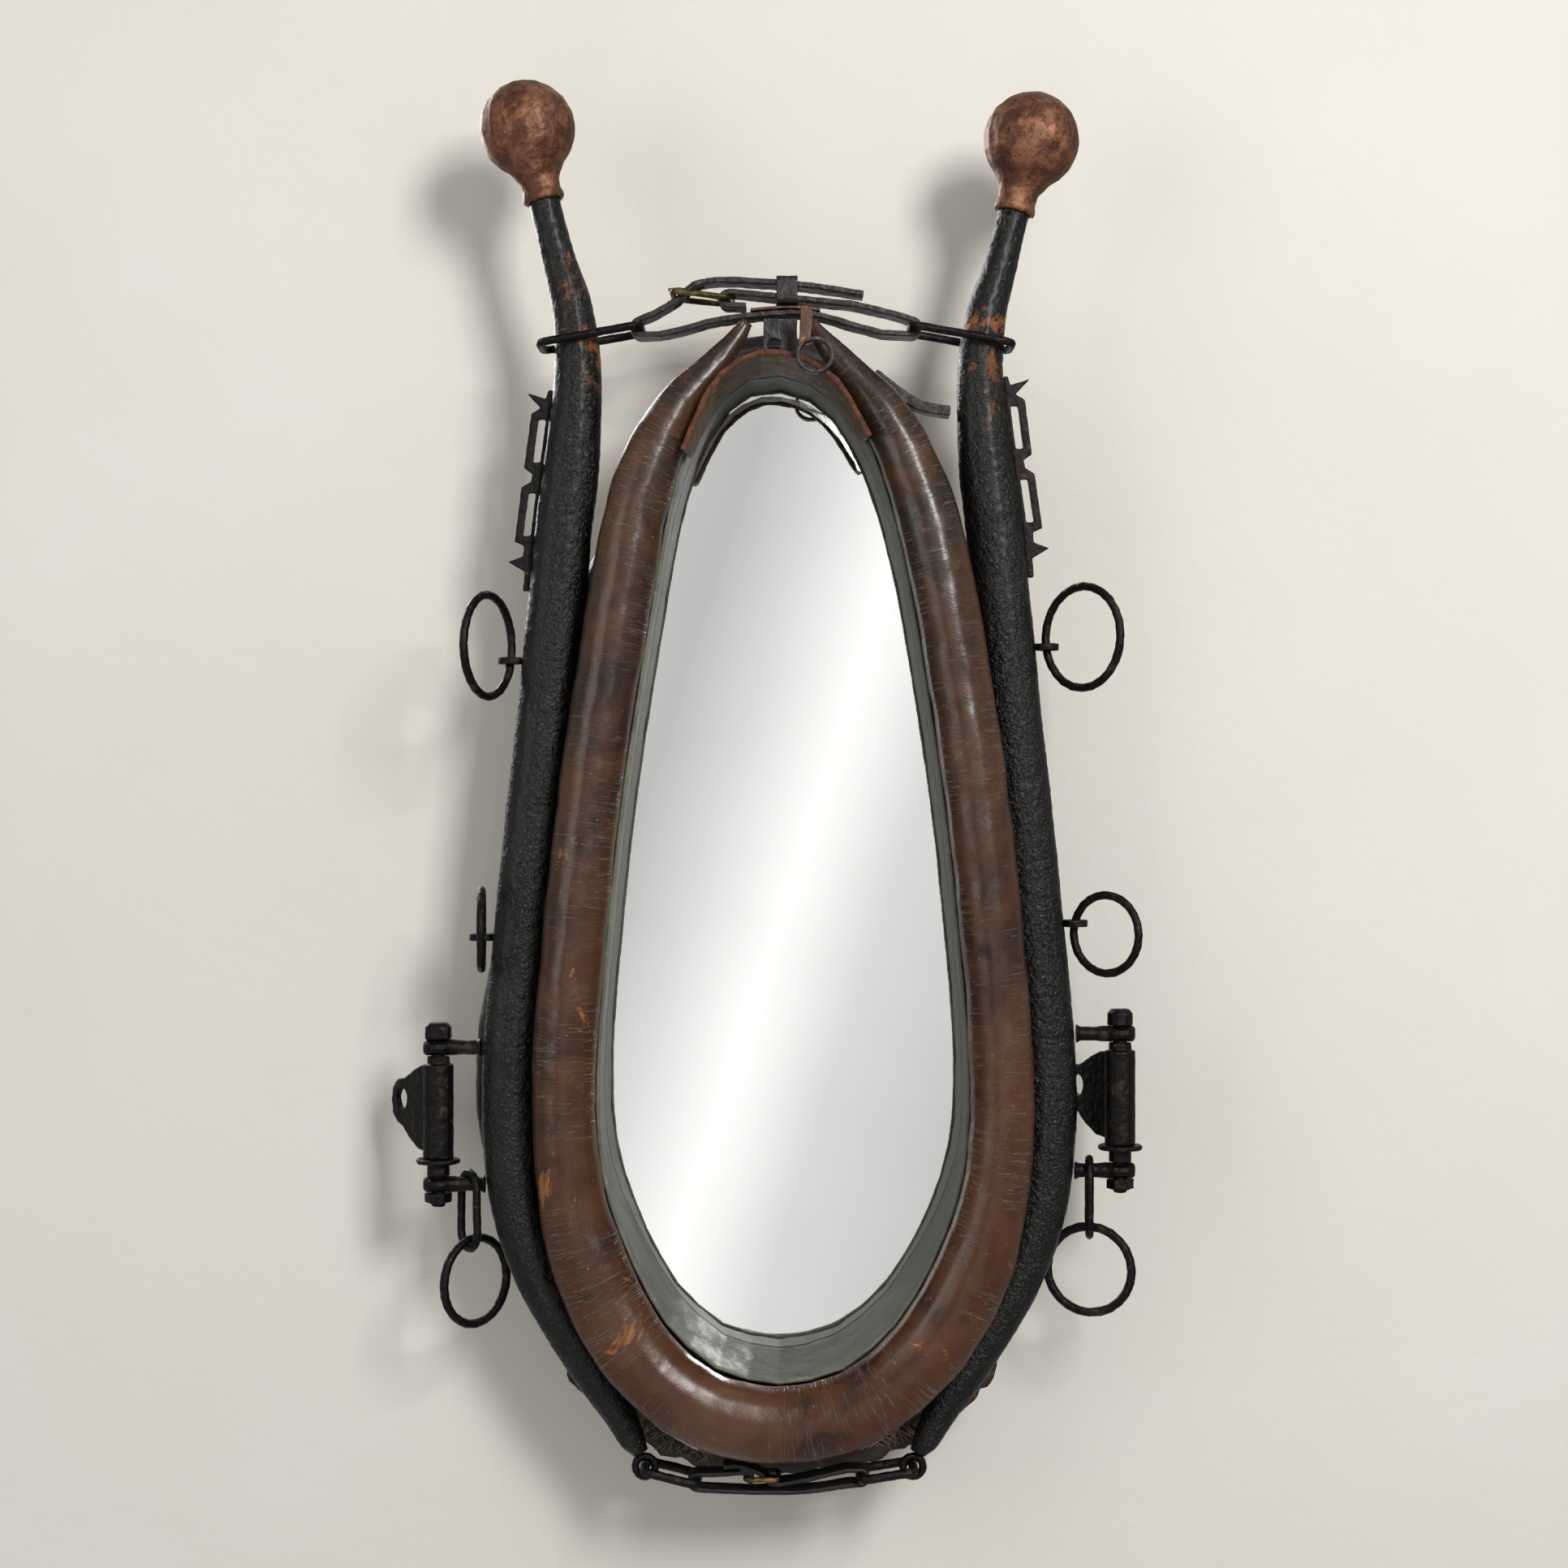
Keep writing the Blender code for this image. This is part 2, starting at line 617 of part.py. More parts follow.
def body_width(point):
    drawn = drawn_height(point.z)
    width = BODY_SIDE_WIDTH - (BODY_SIDE_WIDTH - BODY_TOP_WIDTH) * smooth_step(0.06, 0.20, drawn)
    width -= (BODY_SIDE_WIDTH - BODY_FOOT_WIDTH) * (1 - smooth_step(-0.37, -0.24, drawn))
    sideways = point.x / (COLLAR_WIDTH / 2 - ROLL_RADIUS)
    bump = smooth_step(-0.30, -0.18, drawn) * (1 - smooth_step(-0.18, -0.06, drawn))
    return width - BODY_BULGE * sideways * bump


def under_roll(offset, half):
    """Just behind the roll's back surface, this far out from its inner edge."""
    share = max(0.0, 1 - offset / half)
    return ROLL_Y + ROLL_RADIUS * math.sqrt(1 - share * share) + BODY_CLEARANCE


def build_body(edge, screws):
    start = LINING_THICKNESS + SOFT_GAP
    hame_side_y = BODY_UNDER_HAME
    shoulder_y = (BODY_UNDER_ROLL + HAME_Y) / 2 + 0.0035

    def section(i):
        width = body_width(edge[i])
        half = roll_half(edge[i].z)
        slope = lining_slope(edge[i].z)
        return [
            (start, LINING_FRONT),
            (start + 0.10 * width, under_roll(start + 0.10 * width, half)),
            (start + 0.25 * width, BODY_UNDER_ROLL),
            (start + min(0.39 * width, 0.57 * half * 2), shoulder_y),
            (start + min(0.47 * width, 0.70 * half * 2), hame_side_y - 0.0020),
            (start + 0.60 * width, hame_side_y),
            (start + 0.85 * width, hame_side_y + 0.0010),
            (start + 0.97 * width, hame_side_y + 0.0090),
            (start + 1.00 * width, (hame_side_y + BODY_BACK) / 2),
            (start + 0.96 * width, BODY_BACK - 0.0080),
            (start + 0.86 * width, BODY_BACK),
            (start - slope, BODY_BACK),
        ]

    body = add_object("collar_body", swept(edge, Y_AXIS, section, closed=True), "body_leather")
    for screw in screws:
        cut(body, screw)


def build_cap():
    """A leather hood round the opening's top, wider at its raw front rim than at the piping."""
    long = COLLAR_LENGTH / DRAWN_LENGTH
    edge = edge_line(CAP_STATIONS)
    arch = [p for p in edge if p.z > CAP_FEET["left" if p.x < 0 else "right"] * long]
    foot = CAP_FEET["left"] * long
    crown = max(p.z for p in arch)
    front = ROLL_Y - ROLL_RADIUS - CAP_PROUD
    back = LINING_FRONT - 2 * WELT_RADIUS - 3 * GAP

    def section(i):
        taper = CAP_TAPER_FOOT + (CAP_TAPER_CROWN - CAP_TAPER_FOOT) * smooth_step(foot, crown, arch[i].z)
        middle = (front + back) / 2
        bow = (CAP_SPREAD - taper) / 2 - CAP_BOW
        return [
            (-taper, back),
            (bow, middle),
            (CAP_SPREAD, front),
            (CAP_SPREAD - CAP_RIM, front),
            (bow - CAP_THICKNESS, middle),
            (-taper - CAP_THICKNESS, back),
        ]

    add_object("throat_cap", swept(arch, Y_AXIS, section), "cap_leather")


def build_throat():
    """The small pieces between the roll's two upper ends."""
    top = SEAT[-1].z
    y = ROLL_Y + ROLL_TIP_RADIUS + 0.0030
    low, high = top - 0.0175, top + 0.0050
    outline = [(-0.0095, low), (0.0110, low), (0.0110, high), (-0.0095, high)]
    hole = [(-0.0030 + a, low + 0.0060 + b) for a, b in oval(0.0042, 0.0042, 12)]
    place = axes((1, 0, 0), (0, 0, 1), (0, y, 0))
    add_object("throat_plate", plate(outline, [hole], 0.0030, place), "strap_leather")

    tab_y = ROLL_Y - ROLL_TIP_RADIUS - 0.0020
    tab = [(0.0120, top - 0.0150), (0.0190, top - 0.0150), (0.0205, top + 0.0060), (0.0130, top + 0.0090)]
    place = axes((1, 0, 0), (0, 0, 1), (0, tab_y, 0))
    add_object("throat_tab", plate(tab, [], 0.0025, place), "cap_leather")

    loop_y = ROLL_Y - ROLL_RADIUS - 0.0035 - GAP - THROAT_LOOP_LENGTH / 2
    middle = Vector((0.0215, loop_y, top - 0.0235))
    path = [middle + Vector((0.0105 * math.cos(t), 0, 0.0100 * math.sin(t))) for t in turns_of(18)]
    band = swept(path, Y_AXIS, lambda i: oblong(0.0011, THROAT_LOOP_LENGTH / 2), closed=True)
    add_object("throat_loop", band, "strap_leather")


def turns_of(count, start=0.0, sweep=2 * math.pi):
    return [start + sweep * k / count for k in range(count)]


def build_tie_strap():
    """The black strap from behind the roll to the right hame."""
    seat, _ = seat_at(0.2480)
    hame, half, _ = hame_at("right", seat.z - 0.0190)
    start = seat + Vector((0.0120, 0, 0.0040))
    end = Vector((hame.x - half - 0.0040, 0, hame.z))
    middle = start.lerp(end, 0.55) - Vector((0, 0, 0.0060))
    y = HAME_Y + 0.0020
    line = [p + Vector((0, y, 0)) for p in evenly(curve_through([start, middle, end]), 9)]
    add_object("hame_tie_strap", swept(line, Y_AXIS, lambda i: oblong(0.0032, 0.0085)), "strap_leather")


# ================================================================ mirror and back
def screw_places(edge):
    """Four points on the board's rim, outside the mirror."""
    rim = grown(edge, (MIRROR_LAP + BOARD_LAP) / 2)
    count = len(rim)
    return [rim[round(count * share)] for share in (0.10, 0.37, 0.63, 0.90)]


def build_screws(edge):
    """The four screws, and the clearance holes they need in the board and the body."""
    cutters = []
    head = -BATTEN_THICKNESS
    for k, point in enumerate(screw_places(edge)):
        place = axes((1, 0, 0), (0, 0, 1), (point.x, head, point.z))
        sink = SCREW_HEAD_RADIUS - SCREW_RADIUS
        profile = [
            (0, -0.0010),
            (SCREW_HEAD_RADIUS, 0.0002),
            (SCREW_RADIUS, sink + 0.0010),
            (SCREW_RADIUS, SCREW_LENGTH - 0.0040),
            (0, SCREW_LENGTH),
        ]
        shape = turned(profile, place, 12)
        add_object(f"board_screw_{k + 1}", shape, "screw_steel", place.translation)
        wide = [
            (0, -0.0030),
            (SCREW_HEAD_RADIUS + 2 * GAP, -0.0030),
            (SCREW_HEAD_RADIUS + 2 * GAP, 0.0009),
            (SCREW_RADIUS + 2 * GAP, sink + 0.0020),
            (SCREW_RADIUS + 2 * GAP, SCREW_LENGTH + 0.0010),
            (0, SCREW_LENGTH + 0.0010),
        ]
        cutters.append(add_object(f"screw_hole_{k + 1}", turned(wide, place, 12), None))
    return cutters


def build_back(edge, screws):
    back = -BATTEN_THICKNESS - GAP
    front = back - BOARD_THICKNESS
    floor = front + MIRROR_THICKNESS + GAP
    outer = grown(edge, BOARD_LAP)
    pocket = grown(edge, MIRROR_LAP + POCKET_CLEARANCE)
    glass = grown(edge, MIRROR_LAP)

    def ring(line, y):
        return [Vector((p.x, y, p.z)) for p in line]

    rings = [ring(outer, back), ring(outer, front), ring(pocket, front), ring(pocket, floor)]
    board = add_object("backing_board", skin(rings), "board_wood")
    for screw in screws:
        cut(board, screw)
    rings = [ring(glass, floor - GAP), ring(glass, front)]
    add_object("mirror_plate", skin(rings), "mirror_silver")

    for name, drop in (("hanging_batten", 0), ("lower_batten", LOWER_BATTEN_DROP)):
        half_width = BATTEN_WIDTH / 2
        half_height = BATTEN_HEIGHT / 2
        middle = Vector((0, -BATTEN_THICKNESS / 2, MOUNT_ABOVE_MIDDLE - drop))
        corners = [(-half_width, -half_height), (half_width, -half_height), (half_width, half_height)]
        corners.append((-half_width, half_height))
        place = axes((1, 0, 0), (0, 0, 1), middle)
        add_object(name, plate(corners, [], BATTEN_THICKNESS, place), "board_wood", middle)


# ================================================================ hames and what is fixed to them
def build_hame(side_name):
    points, halves = HAMES[side_name]
    last = len(points) - 1

    def section(i):
        half = halves[i]
        tip = 0.7 if i == 0 else 1.0
        return oval(half * tip, hame_depth(half) * tip, 14)

    picked = [i for i in range(last + 1) if i % 2 == 0 or i < 6]
    path = [points[i] for i in picked]
    shape = swept(path, Y_AXIS, lambda k: section(picked[k]))
    add_object(f"hame_{side_name}", shape, "hame_paint", points[0], 60)


def build_ball(side_name):
    points, halves = HAMES[side_name]
    up = (points[-1] - points[-3]).normalized()
    rim = points[-1] - up * (SOCKET_DEPTH - GAP)
    place = Matrix.Translation(rim) @ Z_AXIS.rotation_difference(up).to_matrix().to_4x4()
    bore = halves[-1] + SOCKET_CLEARANCE
    profile = [
        (0, SOCKET_DEPTH),
        (bore, SOCKET_DEPTH),
        (bore, 0),
        (SOCKET_RIM_RADIUS, 0),
        (SOCKET_RIM_RADIUS + 0.0003, 0.0030),
        (SOCKET_NECK_RADIUS, 0.0075),
        (SOCKET_NECK_RADIUS + 0.0006, 0.0135),
    ]
    for turn in [-54, -40, -25, -8, 10, 28, 46, 63, 78]:
        angle = math.radians(turn)
        profile.append((BALL_RADIUS * math.cos(angle), BALL_HEIGHT + BALL_RADIUS * math.sin(angle)))
    profile.append((0, BALL_HEIGHT + BALL_RADIUS))
    add_object(f"hame_ball_{side_name}", turned(profile, place, 16), "rusty_copper", rim)


def build_ratchet(side_name):
    side, _, raised = SIDES[side_name]
    foot = RATCHET_HEIGHT * COLLAR_LENGTH / DRAWN_LENGTH + raised
    y = FITTING_Y

    def at(height, reach):
        side_point = hame_side(side_name, foot + height, y - RATCHET_THICKNESS / 2)
        return (side_point.x + side * (GAP + reach), foot + height)

    inner = [at(RATCHET_EDGE[-1][0] * k / 8, 0) for k in range(8, -1, -1)]
    outer = [at(height, reach) for height, reach in RATCHET_EDGE]
    near, far = RATCHET_SLOT_REACH
    slots = []
    for low, high in RATCHET_SLOTS:
        slots.append([at(low, near), at(low, far), at(high, far), at(high, near)])
    place = axes((1, 0, 0), (0, 0, 1), (0, y, 0))
    shape = plate(inner + outer, slots, RATCHET_THICKNESS, place)
    add_object(f"ratchet_{side_name}", shape, "black_iron", smooth_angle=20)


def build_rein_ring(side_name, level, height, radius, turn, lift):
    """The eye on the hame's side and the ring that swings in it about an upright axis."""
    side, _, raised = SIDES[side_name]
    root = hame_side(side_name, height * COLLAR_LENGTH / DRAWN_LENGTH + raised, FITTING_Y)
    loop = RING_WIRE + EYE_PLAY + EYE_WIRE
    middle = root + Vector((side * EYE_REACH, 0, 0))
    outer = loop + EYE_WIRE
    shank = 0.0026
    opening = math.asin(shank / outer)
    rim = [math.pi - opening - k * (2 * math.pi - 2 * opening) / 18 for k in range(19)]
    outline = [(outer * math.cos(t), outer * math.sin(t)) for t in rim]
    outline += [(SEAT_GAP - EYE_REACH, -shank), (SEAT_GAP - EYE_REACH, shank)]
    hole = oval(RING_WIRE + EYE_PLAY, RING_WIRE + EYE_PLAY, 12)
    place = axes((side, 0, 0), (0, side, 0), middle)
    shape = plate(outline, [hole], 2 * EYE_WIRE, place)
    add_object(f"{level}_eye_{side_name}", shape, "black_iron", middle)

    angle = math.radians(turn)
    out = Vector((side * math.cos(angle), -math.sin(angle), 0))
    reach = math.sqrt(radius * radius - lift * lift)
    centre = middle + out * reach + Vector((0, 0, lift))
    normal = out.cross(Z_AXIS).normalized()
    path = [centre + out * (radius * math.cos(t)) + Z_AXIS * (radius * math.sin(t)) for t in turns_of(24)]
    shape = wire(path, normal, RING_WIRE, 6, closed=True)
    add_object(f"{level}_ring_{side_name}", shape, "black_iron", middle)


# ================================================================ tug hinges
def hinge_middle(side_name):
    side, _, raised = SIDES[side_name]
    height = HINGE_HEIGHT * COLLAR_LENGTH / DRAWN_LENGTH + raised
    middle, _, _ = hame_at(side_name, height)
    return Vector((middle.x + side * HINGE_REACH, FITTING_Y, height))


def arm_offsets():
    """How far the upper and lower arms lie from the sleeve's middle."""
    upper = SLEEVE_LENGTH / 2 + SLEEVE_NECK_LENGTH + GAP + ARM_HALF_THICKNESS
    lower = -(SLEEVE_LENGTH / 2 + GAP + BUSH_LENGTH + GAP + ARM_HALF_THICKNESS)
    return {"upper": upper, "lower": lower}


def build_arm(side_name, level, bolt):
    side = SIDES[side_name][0]
    middle = hinge_middle(side_name) + Vector((0, 0, arm_offsets()[level]))
    root = hame_side(side_name, middle.z, FITTING_Y - ARM_FOOT_RADIUS)
    near = abs(root.x - middle.x) - SEAT_GAP - GAP
    stations = [(near, ARM_FOOT_RADIUS, ARM_FOOT_RADIUS), (near - 0.0025, ARM_ROD_RADIUS, ARM_ROD_RADIUS)]
    stations += [(0.0150, ARM_ROD_RADIUS, ARM_ROD_RADIUS), (0.0100, 0.0055, ARM_HALF_THICKNESS)]
    for share in (0.80, 0.45, 0.0, -0.45, -0.80, -0.96):
        half = ARM_EYE_RADIUS * math.sqrt(1 - share * share)
        stations.append((share * ARM_EYE_RADIUS, half, ARM_HALF_THICKNESS * (1 if share > -0.9 else 0.7)))
    rings = []
    for inward, half_wide, half_thick in stations:
        point = middle - Vector((side * inward, 0, 0))
        rings.append([point + Vector((0, a, b)) for a, b in oval(half_wide, half_thick, 12)])
    arm = add_object(f"{level}_arm_{side_name}", skin(rings), "black_iron", middle)
    cut(arm, bolt)


def square_ring(half, height, place, sides=12):
    """A rounded square of points, for a bolt's head."""
    found = []
    for t in turns_of(sides, math.pi / sides):
        reach = half / max(abs(math.cos(t)), abs(math.sin(t)))
        reach = min(reach, half * 1.22)
        found.append(place @ Vector((reach * math.cos(t), reach * math.sin(t), height)))
    return found


def round_ring(radius, height, place, sides=12):
    turns = turns_of(sides, math.pi / sides)
    return [place @ Vector((radius * math.cos(t), radius * math.sin(t), height)) for t in turns]


def build_hinge(side_name):
    middle = hinge_middle(side_name)
    place = Matrix.Translation(middle)
    offsets = arm_offsets()
    top = offsets["upper"] + ARM_HALF_THICKNESS + GAP
    foot = offsets["lower"] - ARM_HALF_THICKNESS - GAP
    bore = BOLT_RADIUS + BOLT_PLAY

    clearance = Matrix.Translation(middle + Vector((0, 0, foot - 0.004)))
    bore_cutter = bar_cutter(f"bolt_bore_{side_name}", clearance, bore, top - foot + 0.008)
    build_arm(side_name, "upper", bore_cutter)
    build_arm(side_name, "lower", bore_cutter)

    end = foot - NUT_HEIGHT - 0.0025
    head = square_ring if side_name == "left" else round_ring
    rings = [
        round_ring(BOLT_RADIUS * 0.8, end, place),
        round_ring(BOLT_RADIUS, end + 0.0010, place),
        round_ring(BOLT_RADIUS, top, place),
        head(BOLT_HEAD_RADIUS, top, place),
        head(BOLT_HEAD_RADIUS, top + BOLT_HEAD_HEIGHT * 0.75, place),
        head(BOLT_HEAD_RADIUS * 0.72, top + BOLT_HEAD_HEIGHT, place),
    ]
    add_object(f"tug_bolt_{side_name}", skin(rings), "black_iron", middle, 35)

    hexagon = oval(NUT_RADIUS, NUT_RADIUS, 6)
    hole = oval(BOLT_RADIUS + GAP, BOLT_RADIUS + GAP, 12)
    nut_middle = middle + Vector((0, 0, foot - NUT_HEIGHT / 2))
    nut_place = axes((1, 0, 0), (0, 1, 0), nut_middle)
    shape = plate(hexagon, [hole], NUT_HEIGHT, nut_place)
    add_object(f"bolt_nut_{side_name}", shape, "black_iron", nut_middle)

    flange_top = -SLEEVE_LENGTH / 2 - GAP
    flange_foot = flange_top - BUSH_FLANGE_THICKNESS
    bush = [
        (bore, flange_top),
        (bore, flange_top - BUSH_LENGTH),
        (SLEEVE_NECK_RADIUS, flange_top - BUSH_LENGTH),
        (SLEEVE_NECK_RADIUS, flange_foot),
        (BUSH_FLANGE_RADIUS - 0.0008, flange_foot),
        (BUSH_FLANGE_RADIUS, flange_foot + 0.0015),
        (BUSH_FLANGE_RADIUS - 0.0008, flange_top),
    ]
    add_object(f"bolt_bush_{side_name}", turned(bush, place, 14), "black_iron", middle)


def build_clip(side_name):
    """The tug clip: a sleeve on the bolt with a shaped plate for the trace."""
    side = SIDES[side_name][0]
    middle = hinge_middle(side_name)
    place = Matrix.Translation(middle)
    half = SLEEVE_LENGTH / 2
    bore = BOLT_RADIUS + BOLT_PLAY
    sleeve = [
        (bore, half + SLEEVE_NECK_LENGTH),
        (bore, -half),
        (SLEEVE_RADIUS, -half),
        (SLEEVE_RADIUS, half),
        (SLEEVE_NECK_RADIUS, half),
        (SLEEVE_NECK_RADIUS, half + SLEEVE_NECK_LENGTH),
    ]
    angle = math.radians(CLIP_TURN[side_name])
    back = Vector((side * math.sin(angle), math.cos(angle), 0))
    tube = add_object(f"tug_clip_{side_name}", turned(sleeve, place, 16), "black_iron", middle)
    reach = CLIP_REACH
    start = bore + 0.0015
    ogee = [
        (start, half - 0.0020),
        (SLEEVE_RADIUS + 0.0090, half - 0.0020),
        (SLEEVE_RADIUS + 0.0190, half - 0.0060),
        (reach * 0.70, half - 0.0115),
        (reach * 0.86, half - 0.0130),
        (reach * 0.96, half - 0.0180),
        (reach, half - 0.0260),
        (reach * 0.97, half - 0.0350),
        (reach * 0.87, half - 0.0400),
        (reach * 0.74, half - 0.0425),
        (reach * 0.62, half - 0.0480),
        (SLEEVE_RADIUS + 0.0130, half - 0.0545),
        (start, half - 0.0560),
    ]
    hole_at = (reach - 0.0130, half - 0.0250)
    hole = [(hole_at[0] + a, hole_at[1] + b) for a, b in oval(CLIP_HOLE_RADIUS, CLIP_HOLE_RADIUS, 14)]
    flat = axes(back, Z_AXIS, middle)
    blade = add_object(f"clip_plate_{side_name}", plate(ogee, [hole], CLIP_THICKNESS, flat), None)
    cut(tube, blade, "UNION")


def link_foot(side_name):
    """The middle of the link's wire at its lowest point, and the direction of the wire there."""
    side = SIDES[side_name][0]
    middle = hinge_middle(side_name)
    arm = middle + Vector((-side * LINK_FROM_BOLT, 0, arm_offsets()["lower"]))
    angle = math.radians(LINK_TURN[side_name])
    across = Vector((side * math.sin(angle), math.cos(angle), 0))
    hang = ARM_ROD_RADIUS + GAP + LINK_WIRE - LINK_TOP_RADIUS
    upper = arm + Vector((0, 0, hang))
    lower = upper - Vector((0, 0, LINK_DROP))
    return arm, across, upper, lower


def build_link(side_name):
    arm, across, upper, lower = link_foot(side_name)
    path = []
    for t in turns_of(10, 0, math.pi * 10 / 9):
        path.append(upper + (across * math.cos(t) + Z_AXIS * math.sin(t)) * LINK_TOP_RADIUS)
    for t in turns_of(12, math.pi, math.pi * 12 / 11):
        path.append(lower + (across * math.cos(t) + Z_AXIS * math.sin(t)) * LINK_FOOT_RADIUS)
    normal = across.cross(Z_AXIS).normalized()
    add_object(f"tug_link_{side_name}", wire(path, normal, LINK_WIRE, 6, closed=True), "black_iron", arm)


def build_drop_ring(side_name):
    side = SIDES[side_name][0]
    lower = link_foot(side_name)[-1]
    foot = lower - Vector((0, 0, LINK_FOOT_RADIUS))
    angle = math.radians(DROP_RING_TURN[side_name])
    out = Vector((side * math.cos(angle), -math.sin(angle), 0))
    swing = math.radians(DROP_RING_SWING[side_name])
    down = -out * math.sin(swing) - Z_AXIS * math.cos(swing)
    centre = foot + down * (DROP_RING_RADIUS - LINK_WIRE - GAP - DROP_RING_WIRE)
    path = [
        centre + out * (DROP_RING_RADIUS * math.cos(t)) + Z_AXIS * (DROP_RING_RADIUS * math.sin(t))
        for t in turns_of(24)
    ]
    normal = out.cross(Z_AXIS).normalized()
    shape = wire(path, normal, DROP_RING_WIRE, 6, closed=True)
    add_object(f"drop_ring_{side_name}", shape, "black_iron", foot)


# ================================================================ top links, strap and buckle
def top_link_place(side_name):
    """Local X runs from the outer end of the link to its inner bar."""
    side = SIDES[side_name][0]
    shoulder = seat_shoulder()
    height = shoulder.z + TOP_LINK_RISE
    middle, half, _ = hame_at(side_name, height)
    slack = TOP_LINK_SLACK if side_name == "left" else GAP + 0.0010
    outer = Vector((middle.x + side * (half + slack + TOP_LINK_WIRE), HAME_Y, height - 0.0015))
    inward = Vector((-side * math.cos(TOP_LINK_TILT), 0, math.sin(TOP_LINK_TILT)))
    return axes(inward, Y_AXIS, outer)


def seat_shoulder():
    points, _ = HAMES["right"]
    return points[(len(HAME_SEAT) - 1) * 4]


def link_bar(side_name):
    return top_link_place(side_name) @ Vector((TOP_LINK_LENGTH, 0, 0))


def build_top_link(side_name):
    place = top_link_place(side_name)
    path = loop_path(TOP_LINK_LENGTH, TOP_LINK_HALF_WIDTH, TOP_LINK_CORNER, place, 3)
    normal = place.to_3x3() @ Z_AXIS
    shape = wire(path, normal, TOP_LINK_WIRE, 6, closed=True)
    add_object(f"top_link_{side_name}", shape, "black_iron", place.translation)


def buckle_bars():
    """The middle of the buckle's hinge bar and of its front bar."""
    bar = link_bar("left") + Vector((BUCKLE_FROM_LINK, 0, 0.0139 + STRAP_THICKNESS))
    front = bar + Vector((-BUCKLE_LENGTH, 0, 0.0035))
    return bar, front


def top_strap_path():
    left, right = link_bar("left"), link_bar("right")
    bar, front = buckle_bars()
    wrap = TOP_LINK_WIRE + GAP + STRAP_THICKNESS / 2
    fold = BUCKLE_WIRE + GAP + STRAP_THICKNESS / 2
    under = left.z + 0.0085
    crown = bar.z + 0.0080 + STRAP_THICKNESS

    def at(x, z):
        return Vector((x, HAME_Y, z))

    path = [at(bar.x + 0.0110, bar.z - fold)]
    path += arc_points(bar, fold, -90, -270, 8)
    shoulder = at(right.x - 0.0350, right.z + 0.0104 + STRAP_THICKNESS)
    path += curve_through([at(bar.x + 0.0040, bar.z + fold), shoulder], steps=4)
    path += [at(right.x - 0.0120, right.z + 0.0085)]
    path += arc_points(right, wrap, 70, -110, 7)
    lower = [
        at(right.x - 0.0180, right.z - 0.0035),
        at(right.x - 0.0400, under - 0.0060),
        at(right.x - 0.0600, under - 0.0005),
        at((left.x + right.x) / 2, under),
        at(left.x + 0.0480, under - 0.0040),
        at(left.x + 0.0280, under - 0.0095),
        at(left.x + 0.0120, left.z - 0.0045),
    ]
    path += curve_through(lower, steps=3)
    path += arc_points(left, wrap, -95, -255, 7)
    upper = [
        at(left.x + 0.0080, left.z + 0.0080),
        at(front.x + 0.0030, front.z - 0.0040),
        at(front.x + 0.0130, front.z + 0.0050),
        at(bar.x - 0.0050, crown),
        at(bar.x + 0.0200, crown - 0.0010),
        at(bar.x + 0.0500, crown - 0.0035),
        at(right.x - 0.0295, right.z + 0.0135 + 2 * STRAP_THICKNESS),
    ]
    path += curve_through(upper, steps=3)
    return path


def strap_levels(path, x):
    """The heights at which the strap's middle passes this x, lowest first."""
    found = []
    for first, second in zip(path, path[1:]):
        if (first.x - x) * (second.x - x) < 0:
            found.append(first.lerp(second, (x - first.x) / (second.x - first.x)).z)
    return sorted(found)


